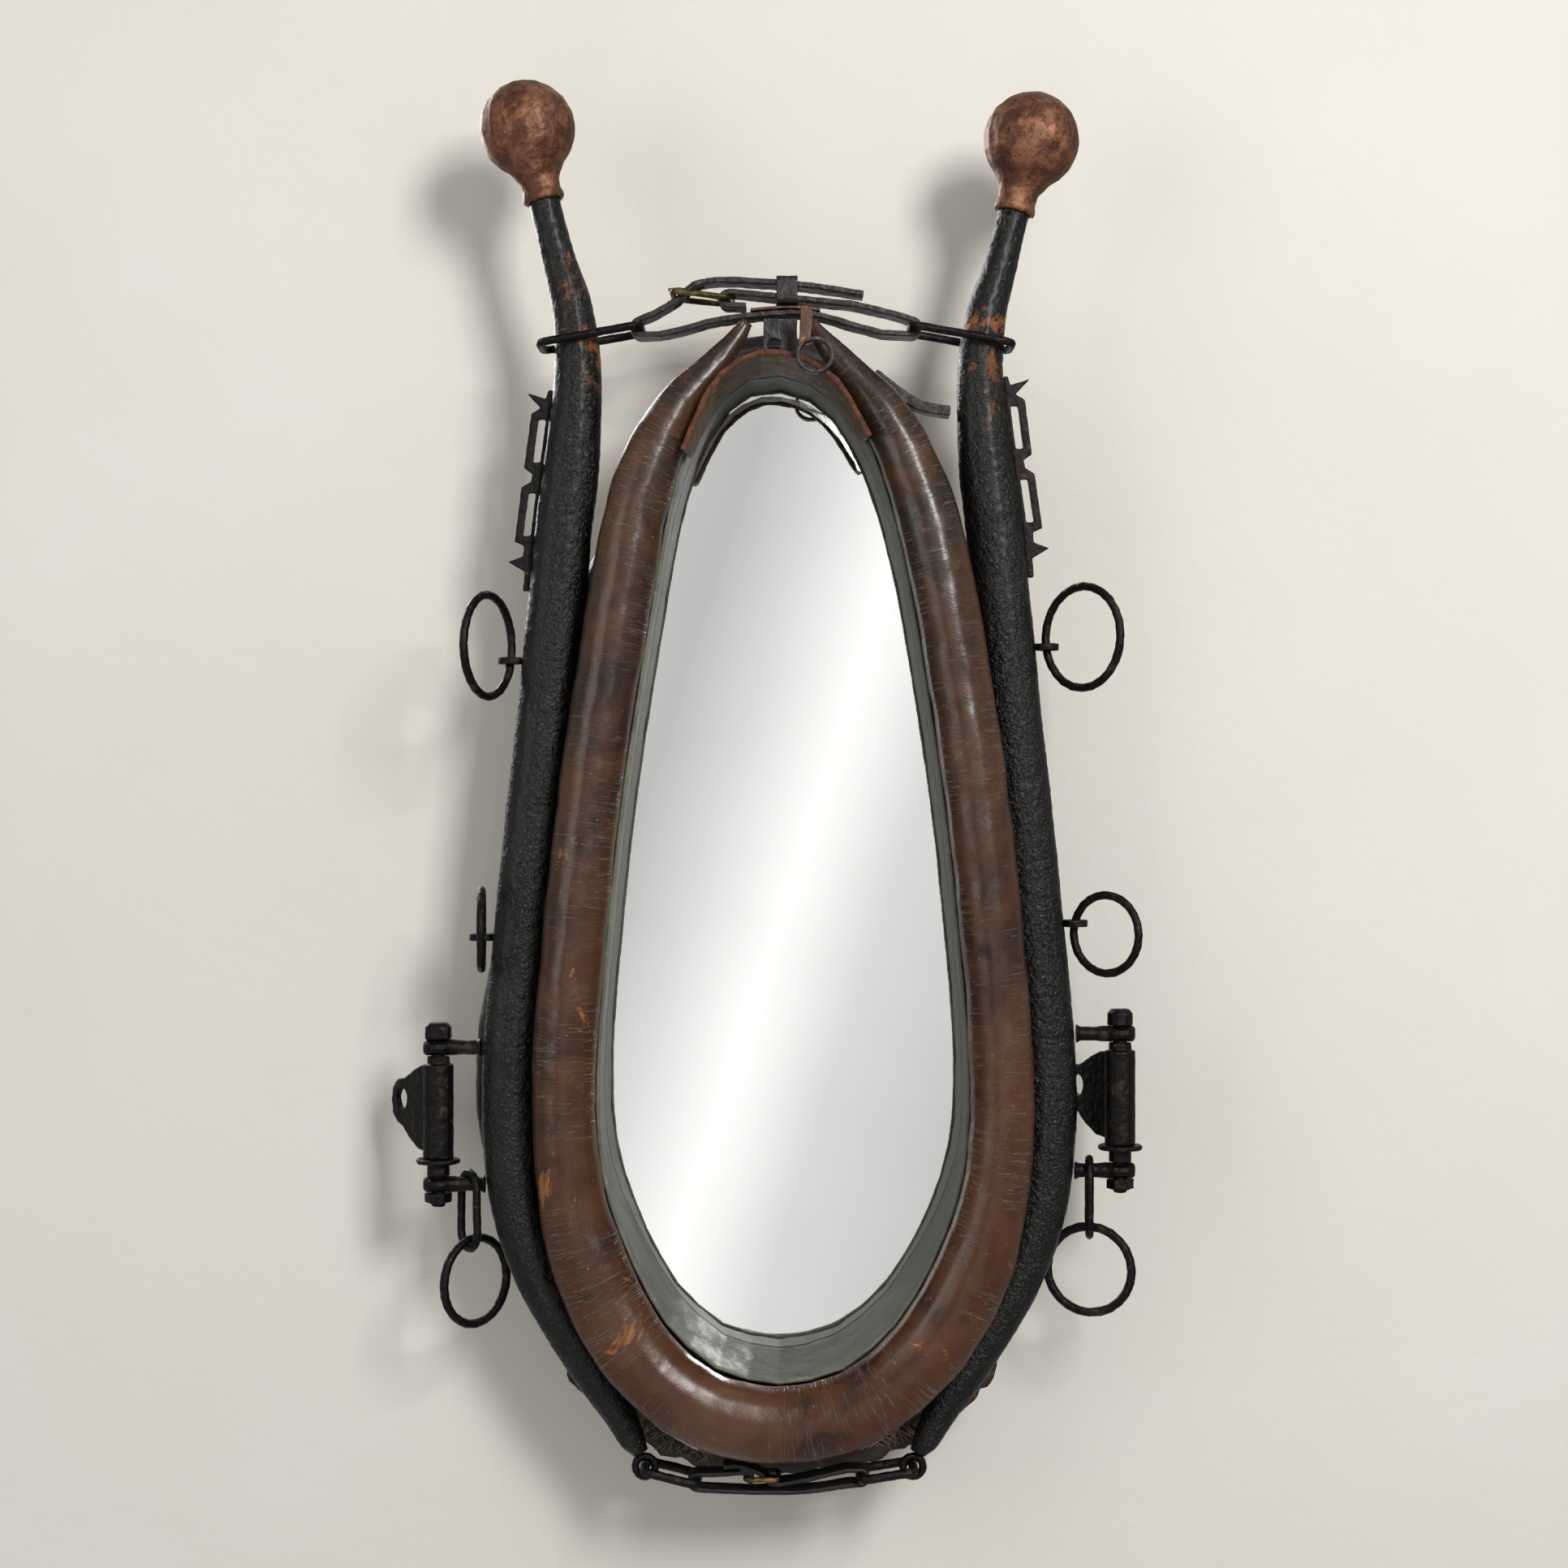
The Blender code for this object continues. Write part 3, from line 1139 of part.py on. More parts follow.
def build_top_strap():
    path = top_strap_path()
    shape = swept(path, Y_AXIS, lambda i: oblong(STRAP_THICKNESS / 2, STRAP_WIDTH / 2))
    strap = add_object("top_hame_strap", shape, "strap_leather")
    bar, front = buckle_bars()
    half = TONGUE_WIDTH / 2 + TONGUE_CLEARANCE
    slot_low = (front.x + 0.0010, HAME_Y - half, front.z - 0.0080)
    slot_high = (front.x + 0.0190, HAME_Y + half, front.z + 0.0120)
    cut(strap, box_cutter("billet_slot", slot_low, slot_high))
    fold = BUCKLE_WIRE + STRAP_THICKNESS
    slot_low = (bar.x - fold - 0.0020, HAME_Y - half, bar.z - fold - 0.0020)
    slot_high = (bar.x + 0.0045, HAME_Y + half, bar.z + fold + 0.0015)
    cut(strap, box_cutter("fold_slot", slot_low, slot_high))

    inward = (front - bar).normalized()
    place = axes(inward, Y_AXIS, bar)
    length = (front - bar).length
    path = loop_path(length, BUCKLE_HALF_WIDTH, 0.0040, place, 3)
    normal = place.to_3x3() @ Z_AXIS
    add_object("top_buckle", wire(path, normal, BUCKLE_WIRE, 6, closed=True), "worn_brass", bar)

    eye = BUCKLE_WIRE + GAP
    outer = eye + 0.0017
    rise = BUCKLE_WIRE + GAP
    flat = axes(inward, Z_AXIS, bar)
    rim = [math.radians(80 + k * 235 / 10) for k in range(11)]
    outline = [(outer * math.cos(t), outer * math.sin(t)) for t in rim]
    tip = length + 0.0035
    outline += [(0.0075, 0.0001), (length - 0.0030, rise), (tip, rise), (tip, rise + 0.0014)]
    outline += [(length - 0.0030, rise + 0.0026), (0.0080, 0.0036)]
    hole = oval(eye, eye, 12)
    shape = plate(outline, [hole], TONGUE_WIDTH, flat)
    add_object("top_buckle_tongue", shape, "worn_brass", bar)

    right = link_bar("right")
    strap_path = top_strap_path()
    start, end = bar.x + 0.0135, right.x - 0.0560
    safe = []
    for k in range(5):
        x = start + (end - start) * k / 4
        under = strap_levels(strap_path, x)[0]
        safe.append(Vector((x, HAME_Y, under + STRAP_THICKNESS / 2 + 1.6 * GAP + SAFE_THICKNESS / 2)))
    shape = swept(safe, Y_AXIS, lambda i: oblong(SAFE_THICKNESS / 2, STRAP_WIDTH / 2 + 0.0010))
    add_object("top_strap_safe", shape, "cap_leather")

    keeper_x = bar.x + KEEPER_FROM_BUCKLE
    ends = (-KEEPER_LENGTH / 2, KEEPER_LENGTH / 2)
    levels = [strap_levels(strap_path, keeper_x + shift)[1:] for shift in ends]
    clear = STRAP_THICKNESS / 2 + KEEPER_THICKNESS / 2 + 2 * GAP
    low = min(level[0] for level in levels) - clear
    high = max(level[1] for level in levels) + clear
    half_width = STRAP_WIDTH / 2 + 2 * GAP + KEEPER_THICKNESS / 2
    place = axes(Z_AXIS, Y_AXIS, (keeper_x, HAME_Y, low))
    path = loop_path(high - low, half_width, 0.0025, place, 2)
    normal = (place.to_3x3() @ Z_AXIS).normalized()
    section = oblong(KEEPER_THICKNESS / 2, KEEPER_LENGTH / 2)
    add_object("top_strap_keeper", swept(path, normal, lambda i: section, closed=True), "strap_leather")


# ================================================================ toe eyes, bottom links and strap
def toe_eye_middle(side_name):
    points, _ = HAMES[side_name]
    down = (points[0] - points[1]).normalized()
    return points[0] + down * (GAP + TOE_EYE_RADIUS + TOE_EYE_WIRE)


def build_toe(side_name):
    """The iron eye at the hame's toe and the link that hangs in it."""
    middle = toe_eye_middle(side_name)
    path = [middle + Vector((math.cos(t), 0, math.sin(t))) * TOE_EYE_RADIUS for t in turns_of(16)]
    shape = wire(path, Y_AXIS, TOE_EYE_WIRE, 6, closed=True)
    add_object(f"toe_eye_{side_name}", shape, "black_iron", middle)
    place = bottom_link_place(side_name)
    path = loop_path(BOTTOM_LINK_LENGTH, BOTTOM_LINK_HALF_WIDTH, BOTTOM_LINK_CORNER, place, 3)
    normal = (place.to_3x3() @ Z_AXIS).normalized()
    shape = wire(path, normal, BOTTOM_LINK_WIRE, 6, closed=True)
    add_object(f"bottom_link_{side_name}", shape, "black_iron", place.translation)


def bottom_link_place(side_name):
    side = SIDES[side_name][0]
    tilt = math.radians(14 if side_name == "left" else 9)
    inward = Vector((-side * math.cos(tilt), 0, -math.sin(tilt)))
    return axes(inward, Y_AXIS, toe_eye_middle(side_name))


def bottom_bar(side_name):
    return bottom_link_place(side_name) @ Vector((BOTTOM_LINK_LENGTH, 0, 0))


def bottom_buckle_bar():
    left, right = bottom_bar("left"), bottom_bar("right")
    wrap = BOTTOM_LINK_WIRE + GAP + BOTTOM_STRAP_THICKNESS / 2
    fold = BOTTOM_BUCKLE_WIRE + GAP + BOTTOM_STRAP_THICKNESS / 2
    return Vector((left.x + BOTTOM_BUCKLE_FROM_LINK, HAME_Y, (left.z + right.z) / 2 + wrap - fold))


def build_bottom_strap():
    """The strap that draws the hames together under the collar, and its buckle."""
    left, right = bottom_bar("left"), bottom_bar("right")
    wrap = BOTTOM_LINK_WIRE + GAP + BOTTOM_STRAP_THICKNESS / 2
    fold = BOTTOM_BUCKLE_WIRE + GAP + BOTTOM_STRAP_THICKNESS / 2
    bar = bottom_buckle_bar()
    middle = (left.x + right.x) / 2
    foot = min(left.z, right.z) - wrap

    def at(x, z):
        return Vector((x, HAME_Y, z))

    path = arc_points(bar, fold, -60, 90, 7)
    path += [at(left.x + 0.0080, left.z + wrap)]
    path += arc_points(left, wrap, 90, 270, 8)
    lower = [
        at(left.x + 0.0080, left.z - wrap - 0.0008),
        at(middle - 0.0150, foot - 0.0016),
        at(middle + 0.0150, foot - 0.0014),
        at(right.x - 0.0080, right.z - wrap - 0.0004),
    ]
    path += curve_through(lower, steps=3)
    path += arc_points(right, wrap, -90, 90, 8)
    over = bar.z + fold + BOTTOM_STRAP_THICKNESS + 2 * GAP
    upper = [
        at(right.x - 0.0080, right.z + wrap),
        at(bar.x + BOTTOM_BUCKLE_LENGTH, bar.z - fold - 0.0003),
        at(bar.x + BOTTOM_BUCKLE_LENGTH * 0.40, bar.z + fold * 0.90),
        at(bar.x - fold, over + 0.0004),
        at(bar.x - 0.0140, over),
    ]
    path += curve_through(upper, steps=4)
    shape = swept(path, Y_AXIS, lambda i: oblong(BOTTOM_STRAP_THICKNESS / 2, BOTTOM_STRAP_WIDTH / 2))
    add_object("bottom_hame_strap", shape, "strap_leather")

    place = axes((1, 0, 0), Y_AXIS, bar)
    half_width = BOTTOM_STRAP_WIDTH / 2 + BOTTOM_BUCKLE_WIRE + 2 * GAP
    path = loop_path(BOTTOM_BUCKLE_LENGTH, half_width, 0.0030, place, 2)
    normal = (place.to_3x3() @ Z_AXIS).normalized()
    shape = wire(path, normal, BOTTOM_BUCKLE_WIRE, 6, closed=True)
    add_object("bottom_buckle", shape, "worn_brass", bar)


def build():
    clear_scene()
    middle = bpy.data.objects.new("collar_middle", None)
    middle.location = (0, 0, -MOUNT_ABOVE_MIDDLE)
    bpy.context.collection.objects.link(middle)

    SEAT.extend(seat_line())
    for side_name in SIDES:
        HAMES[side_name] = hame_line(side_name)

    edge = edge_line(EDGE_STATIONS)
    screws = build_screws(edge)
    build_roll()
    build_lining(edge)
    build_welt(edge)
    build_body(edge, screws)
    build_cap()
    build_throat()
    build_tie_strap()
    build_back(edge, screws)
    for side_name in SIDES:
        build_hame(side_name)
        build_ball(side_name)
        build_ratchet(side_name)
        upper = (UPPER_RING_RADIUS, UPPER_RING_TURN[side_name], UPPER_RING_LIFT[side_name])
        lower = (LOWER_RING_RADIUS, LOWER_RING_TURN[side_name], LOWER_RING_LIFT[side_name])
        build_rein_ring(side_name, "upper", UPPER_RING_HEIGHT, *upper)
        build_rein_ring(side_name, "lower", LOWER_RING_HEIGHT, *lower)
        build_hinge(side_name)
        build_clip(side_name)
        build_link(side_name)
        build_drop_ring(side_name)
        build_top_link(side_name)
        build_toe(side_name)
    build_top_strap()
    build_bottom_strap()


build()
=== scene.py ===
import math
import random

import bmesh
import bpy
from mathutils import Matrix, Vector, noise
from mathutils.bvhtree import BVHTree


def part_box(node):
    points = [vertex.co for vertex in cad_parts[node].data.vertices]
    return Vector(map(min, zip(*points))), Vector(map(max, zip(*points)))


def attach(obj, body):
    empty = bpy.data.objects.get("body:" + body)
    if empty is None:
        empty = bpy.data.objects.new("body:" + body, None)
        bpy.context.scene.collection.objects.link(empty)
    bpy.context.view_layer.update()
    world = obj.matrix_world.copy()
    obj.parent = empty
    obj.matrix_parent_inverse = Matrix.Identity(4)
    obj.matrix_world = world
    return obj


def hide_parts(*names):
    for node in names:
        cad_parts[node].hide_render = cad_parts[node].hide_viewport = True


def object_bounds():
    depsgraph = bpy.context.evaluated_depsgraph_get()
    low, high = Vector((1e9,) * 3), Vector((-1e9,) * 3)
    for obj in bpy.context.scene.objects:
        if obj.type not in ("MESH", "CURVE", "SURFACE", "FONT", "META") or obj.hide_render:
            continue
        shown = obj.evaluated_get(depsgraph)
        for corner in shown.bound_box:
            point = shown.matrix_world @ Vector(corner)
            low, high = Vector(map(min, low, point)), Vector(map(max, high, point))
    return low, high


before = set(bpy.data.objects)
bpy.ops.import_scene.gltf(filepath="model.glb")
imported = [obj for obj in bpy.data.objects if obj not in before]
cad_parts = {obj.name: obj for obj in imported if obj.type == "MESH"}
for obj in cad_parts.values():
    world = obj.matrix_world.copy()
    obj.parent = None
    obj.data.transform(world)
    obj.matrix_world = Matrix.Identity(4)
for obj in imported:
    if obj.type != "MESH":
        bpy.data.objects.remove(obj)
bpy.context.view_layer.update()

Y_AXIS = Vector((0, 1, 0))

# ---------------------------------------------------------------- camera
VIEW_DISTANCE = 1.70  # from the hames to the lens
VIEW_SHIFT = 0.003
LENS = 63.4
VIEW_RISE = 0.0015
SENSOR_TURN = (math.pi / 2, 0, 0)  # looks along +Y

# ---------------------------------------------------------------- wall
WALL_SIZE = 4.0
WALL_GAP = 0.0008  # behind the batten

# ---------------------------------------------------------------- torn leather at the bottom
TORN_RISE = 0.075  # the ragged flap reaches this far up from the roll's lowest point
TORN_COLUMNS = 8
TORN_FADE = 12  # points over which it narrows to its ends
TORN_ROOT = 0.0120
TORN_REACH = 0.0370
TORN_BEHIND = 0.0560  # behind the roll's middle
TORN_THICKNESS = 0.0016
STRAW_COUNT = 110
STRAW_SEED = 11
STRAW_STRETCHES = ((0.20, 0.38), (0.64, 0.78))  # shares of the flap's run

# ---------------------------------------------------------------- fineness of the meshes
ROLL_STEPS = 560
HAME_STEPS = 420
ROUND_STEPS = 72


# ================================================================ reading the frame
def node_tree(name):
    """The surface of a CAD node, to measure against."""
    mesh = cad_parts[name].data
    mesh.calc_loop_triangles()
    points = [v.co.copy() for v in mesh.vertices]
    return points, BVHTree.FromPolygons(points, [tuple(t.vertices) for t in mesh.loop_triangles])


def middle(name):
    low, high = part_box(name)
    return (low + high) / 2


def smoothed(values, rounds, closed=False):
    """A list of numbers or vectors, each moved towards the mean of its neighbours, ends held."""
    for _ in range(rounds):
        last = len(values) - 1
        fresh = []
        for i, value in enumerate(values):
            if closed:
                fresh.append(value * 0.5 + (values[i - 1] + values[(i + 1) % len(values)]) * 0.25)
            elif i in (0, last):
                fresh.append(value)
            else:
                fresh.append(value * 0.5 + (values[i - 1] + values[i + 1]) * 0.25)
        values = fresh
    return values


def even_line(points, count):
    """The same line with its points an equal run apart."""
    runs = [0.0]
    for before, after in zip(points, points[1:]):
        runs.append(runs[-1] + (after - before).length)
    line = []
    k = 0
    for i in range(count):
        run = runs[-1] * i / (count - 1)
        while k < len(points) - 2 and runs[k + 1] < run:
            k += 1
        t = (run - runs[k]) / max(runs[k + 1] - runs[k], 1e-9)
        line.append(points[k].lerp(points[k + 1], min(max(t, 0.0), 1.0)))
    return line


def planes(line, side):
    """At each point the run's direction and the two directions across it, the second nearest to side."""
    made = []
    for i in range(len(line)):
        run = (line[min(i + 1, len(line) - 1)] - line[max(i - 1, 0)]).normalized()
        across = side.cross(run).normalized()
        made.append((run, across, run.cross(across).normalized()))
    return made


def centred(line, tree, side, reach, rounds=3, turns=24):
    """Moves each point to the middle of the tube that it lies in."""
    for _ in range(rounds):
        fresh = []
        for point, (_, across, up) in zip(line, planes(line, side)):
            hits = []
            for k in range(turns):
                angle = math.tau * k / turns
                ray = across * math.cos(angle) + up * math.sin(angle)
                hit = tree.ray_cast(point, ray, reach)[0]
                if hit is not None:
                    hits.append(hit)
            fresh.append(sum(hits, Vector()) / len(hits) if len(hits) > turns * 0.7 else point)
        line = smoothed(fresh, 3)
    return line


def measured_tube(line, tree, side, reach, around, even=6):
    """Each section's distances from the line out to the tube's surface, with the facets evened out."""
    rows = []
    for point, (_, across, up) in zip(line, planes(line, side)):
        row = []
        for k in range(around):
            angle = math.tau * k / around
            ray = across * math.cos(angle) + up * math.sin(angle)
            hit = tree.ray_cast(point, ray, reach)
            row.append(hit[3] if hit[0] is not None else None)
        known = [value for value in row if value is not None]
        mean = sum(known) / len(known) if known else 0.0005
        rows.append(smoothed([mean if value is None else value for value in row], 3, closed=True))
    for _ in range(even):
        rows = [
            [
                rows[i][k] * 0.5 + (rows[max(i - 1, 0)][k] + rows[min(i + 1, len(rows) - 1)][k]) * 0.25
                for k in range(around)
            ]
            for i in range(len(rows))
        ]
    return rows


# ================================================================ making meshes
def piece(name, mesh, finish, body, nodes=()):
    obj = bpy.data.objects.new(name, mesh)
    bpy.context.scene.collection.objects.link(obj)
    mesh.materials.clear()
    mesh.materials.append(finish)
    mesh.shade_smooth()
    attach(obj, body)
    if nodes:
        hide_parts(*nodes)
    return obj


def sleeve(line, side, radii, shift=None, caps=True):
    """A skin round a line. Its UV map holds the run along it and round it, in metres."""
    made = bmesh.new()
    layer = made.loops.layers.uv.new("run")
    around = len(radii[0])
    rows = []
    run = 0.0
    runs = []
    widths = []
    for i, (point, (_, across, up)) in enumerate(zip(line, planes(line, side))):
        if i:
            run += (point - line[i - 1]).length
        runs.append(run)
        widths.append(sum(radii[i]) / around)
        row = []
        for k in range(around):
            angle = math.tau * k / around
            ray = across * math.cos(angle) + up * math.sin(angle)
            radius = radii[i][k]
            if shift:
                radius += shift(run, angle, point + ray * radius)
            row.append(made.verts.new(point + ray * max(radius, 0.0002)))
        rows.append(row)
    width = sum(widths) / len(widths)
    for i in range(len(rows) - 1):
        for k in range(around):
            j = (k + 1) % around
            face = made.faces.new((rows[i][k], rows[i][j], rows[i + 1][j], rows[i + 1][k]))
            turns = (k, k + 1, k + 1, k)
            for loop, turn, along in zip(face.loops, turns, (i, i, i + 1, i + 1)):
                loop[layer].uv = (runs[along], width * math.tau * turn / around)
    if caps:
        for row, flip in ((rows[0], True), (rows[-1], False)):
            hub = made.verts.new(sum((v.co for v in row), Vector()) / around)
            for k in range(around):
                pair = (row[k], row[(k + 1) % around])
                made.faces.new((hub, pair[1], pair[0]) if flip else (hub, pair[0], pair[1]))
    bmesh.ops.recalc_face_normals(made, faces=made.faces)
    mesh = bpy.data.meshes.new("sleeve")
    made.to_mesh(mesh)
    made.free()
    return mesh


def recast(node, voxel, rounds=6, swell=0.0):
    """The node's own shape in a fine even mesh, its facets rounded off."""
    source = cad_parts[node]
    work = bpy.data.objects.new("work", source.data.copy())
    bpy.context.scene.collection.objects.link(work)
    remesh = work.modifiers.new("remesh", "REMESH")
    remesh.mode = "VOXEL"
    remesh.voxel_size = voxel
    soften = work.modifiers.new("soften", "SMOOTH")
    soften.factor = 0.5
    soften.iterations = rounds
    bpy.context.view_layer.update()
    graph = bpy.context.evaluated_depsgraph_get()
    mesh = bpy.data.meshes.new_from_object(work.evaluated_get(graph))
    bpy.data.objects.remove(work)
    if swell:
        moved = [v.co + v.normal * swell for v in mesh.vertices]
        for v, co in zip(mesh.vertices, moved):
            v.co = co
    return mesh


def roughen(mesh, strength, size, depth=3, seed=0.0):
    """Moves each point along its normal by layered noise."""
    offset = Vector((seed, seed * 1.7, -seed))
    moved = []
    for v in mesh.vertices:
        lump = noise.fractal(v.co / size + offset, 1.0, 2.0, depth)
        moved.append(v.co + v.normal * (strength * lump))
    for v, co in zip(mesh.vertices, moved):
        v.co = co
    mesh.update()
    return mesh


# ================================================================ materials
def new_material(name):
    made = bpy.data.materials.new(name)
    made.use_nodes = True
    shader = made.node_tree.nodes["Principled BSDF"]
    return made, made.node_tree, shader


def add(tree, kind, **values):
    node = tree.nodes.new(kind)
    for key, value in values.items():
        setattr(node, key, value)
    return node


def noise_map(tree, vector, scale, detail=4.0, rough=0.55, distortion=0.0):
    made = add(tree, "ShaderNodeTexNoise")
    made.inputs["Scale"].default_value = scale
    made.inputs["Detail"].default_value = detail
    made.inputs["Roughness"].default_value = rough
    made.inputs["Distortion"].default_value = distortion
    tree.links.new(vector, made.inputs["Vector"])
    return made.outputs["Fac"]


def cells(tree, vector, scale, feature="F1"):
    made = add(tree, "ShaderNodeTexVoronoi", feature=feature)
    made.inputs["Scale"].default_value = scale
    tree.links.new(vector, made.inputs["Vector"])
    return made.outputs["Distance"]


def stretch(tree, vector, scale):
    made = add(tree, "ShaderNodeMapping")
    made.inputs["Scale"].default_value = scale
    tree.links.new(vector, made.inputs["Vector"])
    return made.outputs["Vector"]


def ramp(tree, value, low, high, a=0.0, b=1.0):
    """Maps low..high of a value onto a..b."""
    made = add(tree, "ShaderNodeMapRange")
    tree.links.new(value, made.inputs["Value"])
    for key, number in (("From Min", low), ("From Max", high), ("To Min", a), ("To Max", b)):
        made.inputs[key].default_value = number
    return made.outputs["Result"]


def times(tree, a, b):
    made = add(tree, "ShaderNodeMath", operation="MULTIPLY")
    tree.links.new(a, made.inputs[0])
    if isinstance(b, float):
        made.inputs[1].default_value = b
    else:
        tree.links.new(b, made.inputs[1])
    return made.outputs[0]


def plus(tree, a, b):
    made = add(tree, "ShaderNodeMath", operation="ADD")
    tree.links.new(a, made.inputs[0])
    tree.links.new(b, made.inputs[1])
    return made.outputs[0]


def mix(tree, factor, a, b):
    """a and b are colours or colour outputs."""
    made = add(tree, "ShaderNodeMix", data_type="RGBA")
    tree.links.new(factor, made.inputs["Factor"])
    for socket, value in ((made.inputs[6], a), (made.inputs[7], b)):
        if isinstance(value, tuple):
            socket.default_value = (*value, 1.0)
        else:
            tree.links.new(value, socket)
    return made.outputs[2]


def bump(tree, shader, layers):
    """Chains bumps. Each layer is (height, strength, distance)."""
    last = None
    for height, strength, distance in layers:
        made = add(tree, "ShaderNodeBump")
        made.inputs["Strength"].default_value = strength
        made.inputs["Distance"].default_value = distance
        tree.links.new(height, made.inputs["Height"])
        if last:
            tree.links.new(last, made.inputs["Normal"])
        last = made.outputs["Normal"]
    tree.links.new(last, shader.inputs["Normal"])


def coordinates(tree):
    made = add(tree, "ShaderNodeTexCoord")
    return made.outputs["Object"], made.outputs["UV"]


def height_of(tree, vector):
    made = add(tree, "ShaderNodeSeparateXYZ")
    tree.links.new(vector, made.inputs[0])
    return made.outputs["Z"]


def roll_leather():
    """Old waxed leather: darker above, redder below, cracked across the roll, rubbed in spots."""
    made, tree, shader = new_material("roll_leather_look")
    place, run = coordinates(tree)
    low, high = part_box("forewale_roll")
    climb = ramp(tree, height_of(tree, place), low.z, high.z)
    wander = noise_map(tree, place, 9.0, 3.0)
    blotch = noise_map(tree, place, 28.0, 6.0, 0.62, 0.4)
    fine = noise_map(tree, place, 260.0, 5.0, 0.6)
    tone = ramp(tree, plus(tree, climb, times(tree, wander, 0.5)), 0.30, 1.10)
    colour = mix(tree, tone, (0.074, 0.022, 0.008), (0.029, 0.0195, 0.0135))
    colour = mix(tree, ramp(tree, blotch, 0.42, 0.72), colour, (0.112, 0.043, 0.019))
    colour = mix(tree, ramp(tree, blotch, 0.30, 0.42, 0.85, 0.0), colour, (0.016, 0.010, 0.009))
    lines = noise_map(tree, stretch(tree, run, (800.0, 44.0, 1.0)), 1.0, 5.0, 0.62, 1.0)
    where = ramp(tree, noise_map(tree, place, 16.0, 3.0), 0.45, 0.57)
    cracks = times(tree, ramp(tree, lines, 0.560, 0.61), where)
    colour = mix(tree, times(tree, cracks, 0.85), colour, (0.30, 0.22, 0.16))
    core = times(tree, ramp(tree, lines, 0.605, 0.64), where)
    colour = mix(tree, core, colour, (0.012, 0.008, 0.007))
    rubbed = ramp(tree, noise_map(tree, place, 17.0, 7.0, 0.7, 0.8), 0.650, 0.690)
    colour = mix(tree, rubbed, colour, (0.34, 0.130, 0.036))
    flecks = ramp(tree, noise_map(tree, place, 420.0, 2.0), 0.72, 0.76, 0.0, 0.7)
    colour = mix(tree, flecks, colour, (0.42, 0.33, 0.24))
    tree.links.new(colour, shader.inputs["Base Color"])
    gloss = ramp(tree, plus(tree, blotch, times(tree, fine, 0.5)), 0.4, 1.1, 0.20, 0.42)
    tree.links.new(gloss, shader.inputs["Roughness"])
    shader.inputs["Specular IOR Level"].default_value = 0.42
    shader.inputs["Coat Weight"].default_value = 0.24
    shader.inputs["Coat Roughness"].default_value = 0.24
    pores = cells(tree, place, 900.0)
    layers = [
        (blotch, 0.35, 0.0016),
        (fine, 0.25, 0.0006),
        (pores, 0.15, 0.0002),
        (cracks, 0.6, -0.0009),
    ]
    bump(tree, shader, layers)
    return made


def dark_leather(name, low, high, worn, grain=700.0, rough=(0.35, 0.6), worn_at=0.66, folds=0.0):
    made, tree, shader = new_material(name)
    place, _ = coordinates(tree)
    blotch = noise_map(tree, place, 45.0, 6.0, 0.62, 0.5)
    fine = noise_map(tree, place, 380.0, 4.0)
    pebble = cells(tree, place, grain)
    colour = mix(tree, ramp(tree, blotch, 0.35, 0.65), low, high)
    rubbed = ramp(tree, noise_map(tree, place, 70.0, 8.0, 0.72, 0.6), worn_at, worn_at + 0.05)
    colour = mix(tree, rubbed, colour, worn)
    tree.links.new(colour, shader.inputs["Base Color"])
    gloss = ramp(tree, plus(tree, blotch, times(tree, fine, 0.4)), 0.4, 1.0, *rough)
    tree.links.new(gloss, shader.inputs["Roughness"])
    layers = [(blotch, 0.4, 0.0012), (fine, 0.4, 0.0005), (pebble, 0.3, 0.0003)]
    if folds:
        crease = noise_map(tree, stretch(tree, place, (30.0, 30.0, 160.0)), 1.0, 5.0, 0.6, 1.2)
        layers.append((crease, folds, 0.0020))
    bump(tree, shader, layers)
    return made


def lining_cloth():
    made, tree, shader = new_material("lining_look")
    place, _ = coordinates(tree)
    blotch = noise_map(tree, place, 30.0, 6.0, 0.6, 0.4)
    fine = noise_map(tree, place, 500.0, 3.0)
    colour = mix(tree, ramp(tree, blotch, 0.35, 0.68), (0.024, 0.029, 0.021), (0.082, 0.090, 0.064))
    stain = ramp(tree, noise_map(tree, place, 24.0, 7.0, 0.7), 0.62, 0.72, 0.0, 0.75)
    colour = mix(tree, stain, colour, (0.150, 0.105, 0.062))
    scuff = ramp(tree, noise_map(tree, place, 95.0, 8.0, 0.75, 0.8), 0.64, 0.70, 0.0, 0.8)
    colour = mix(tree, scuff, colour, (0.42, 0.42, 0.35))
    tree.links.new(colour, shader.inputs["Base Color"])
    tree.links.new(ramp(tree, blotch, 0.3, 0.7, 0.42, 0.62), shader.inputs["Roughness"])
    shader.inputs["Sheen Weight"].default_value = 0.15
    wrinkle = noise_map(tree, place, 60.0, 5.0, 0.6, 0.8)
    weave = cells(tree, place, 1100.0)
    bump(tree, shader, [(wrinkle, 0.4, 0.0016), (fine, 0.3, 0.0004), (weave, 0.25, 0.0002)])
    return made


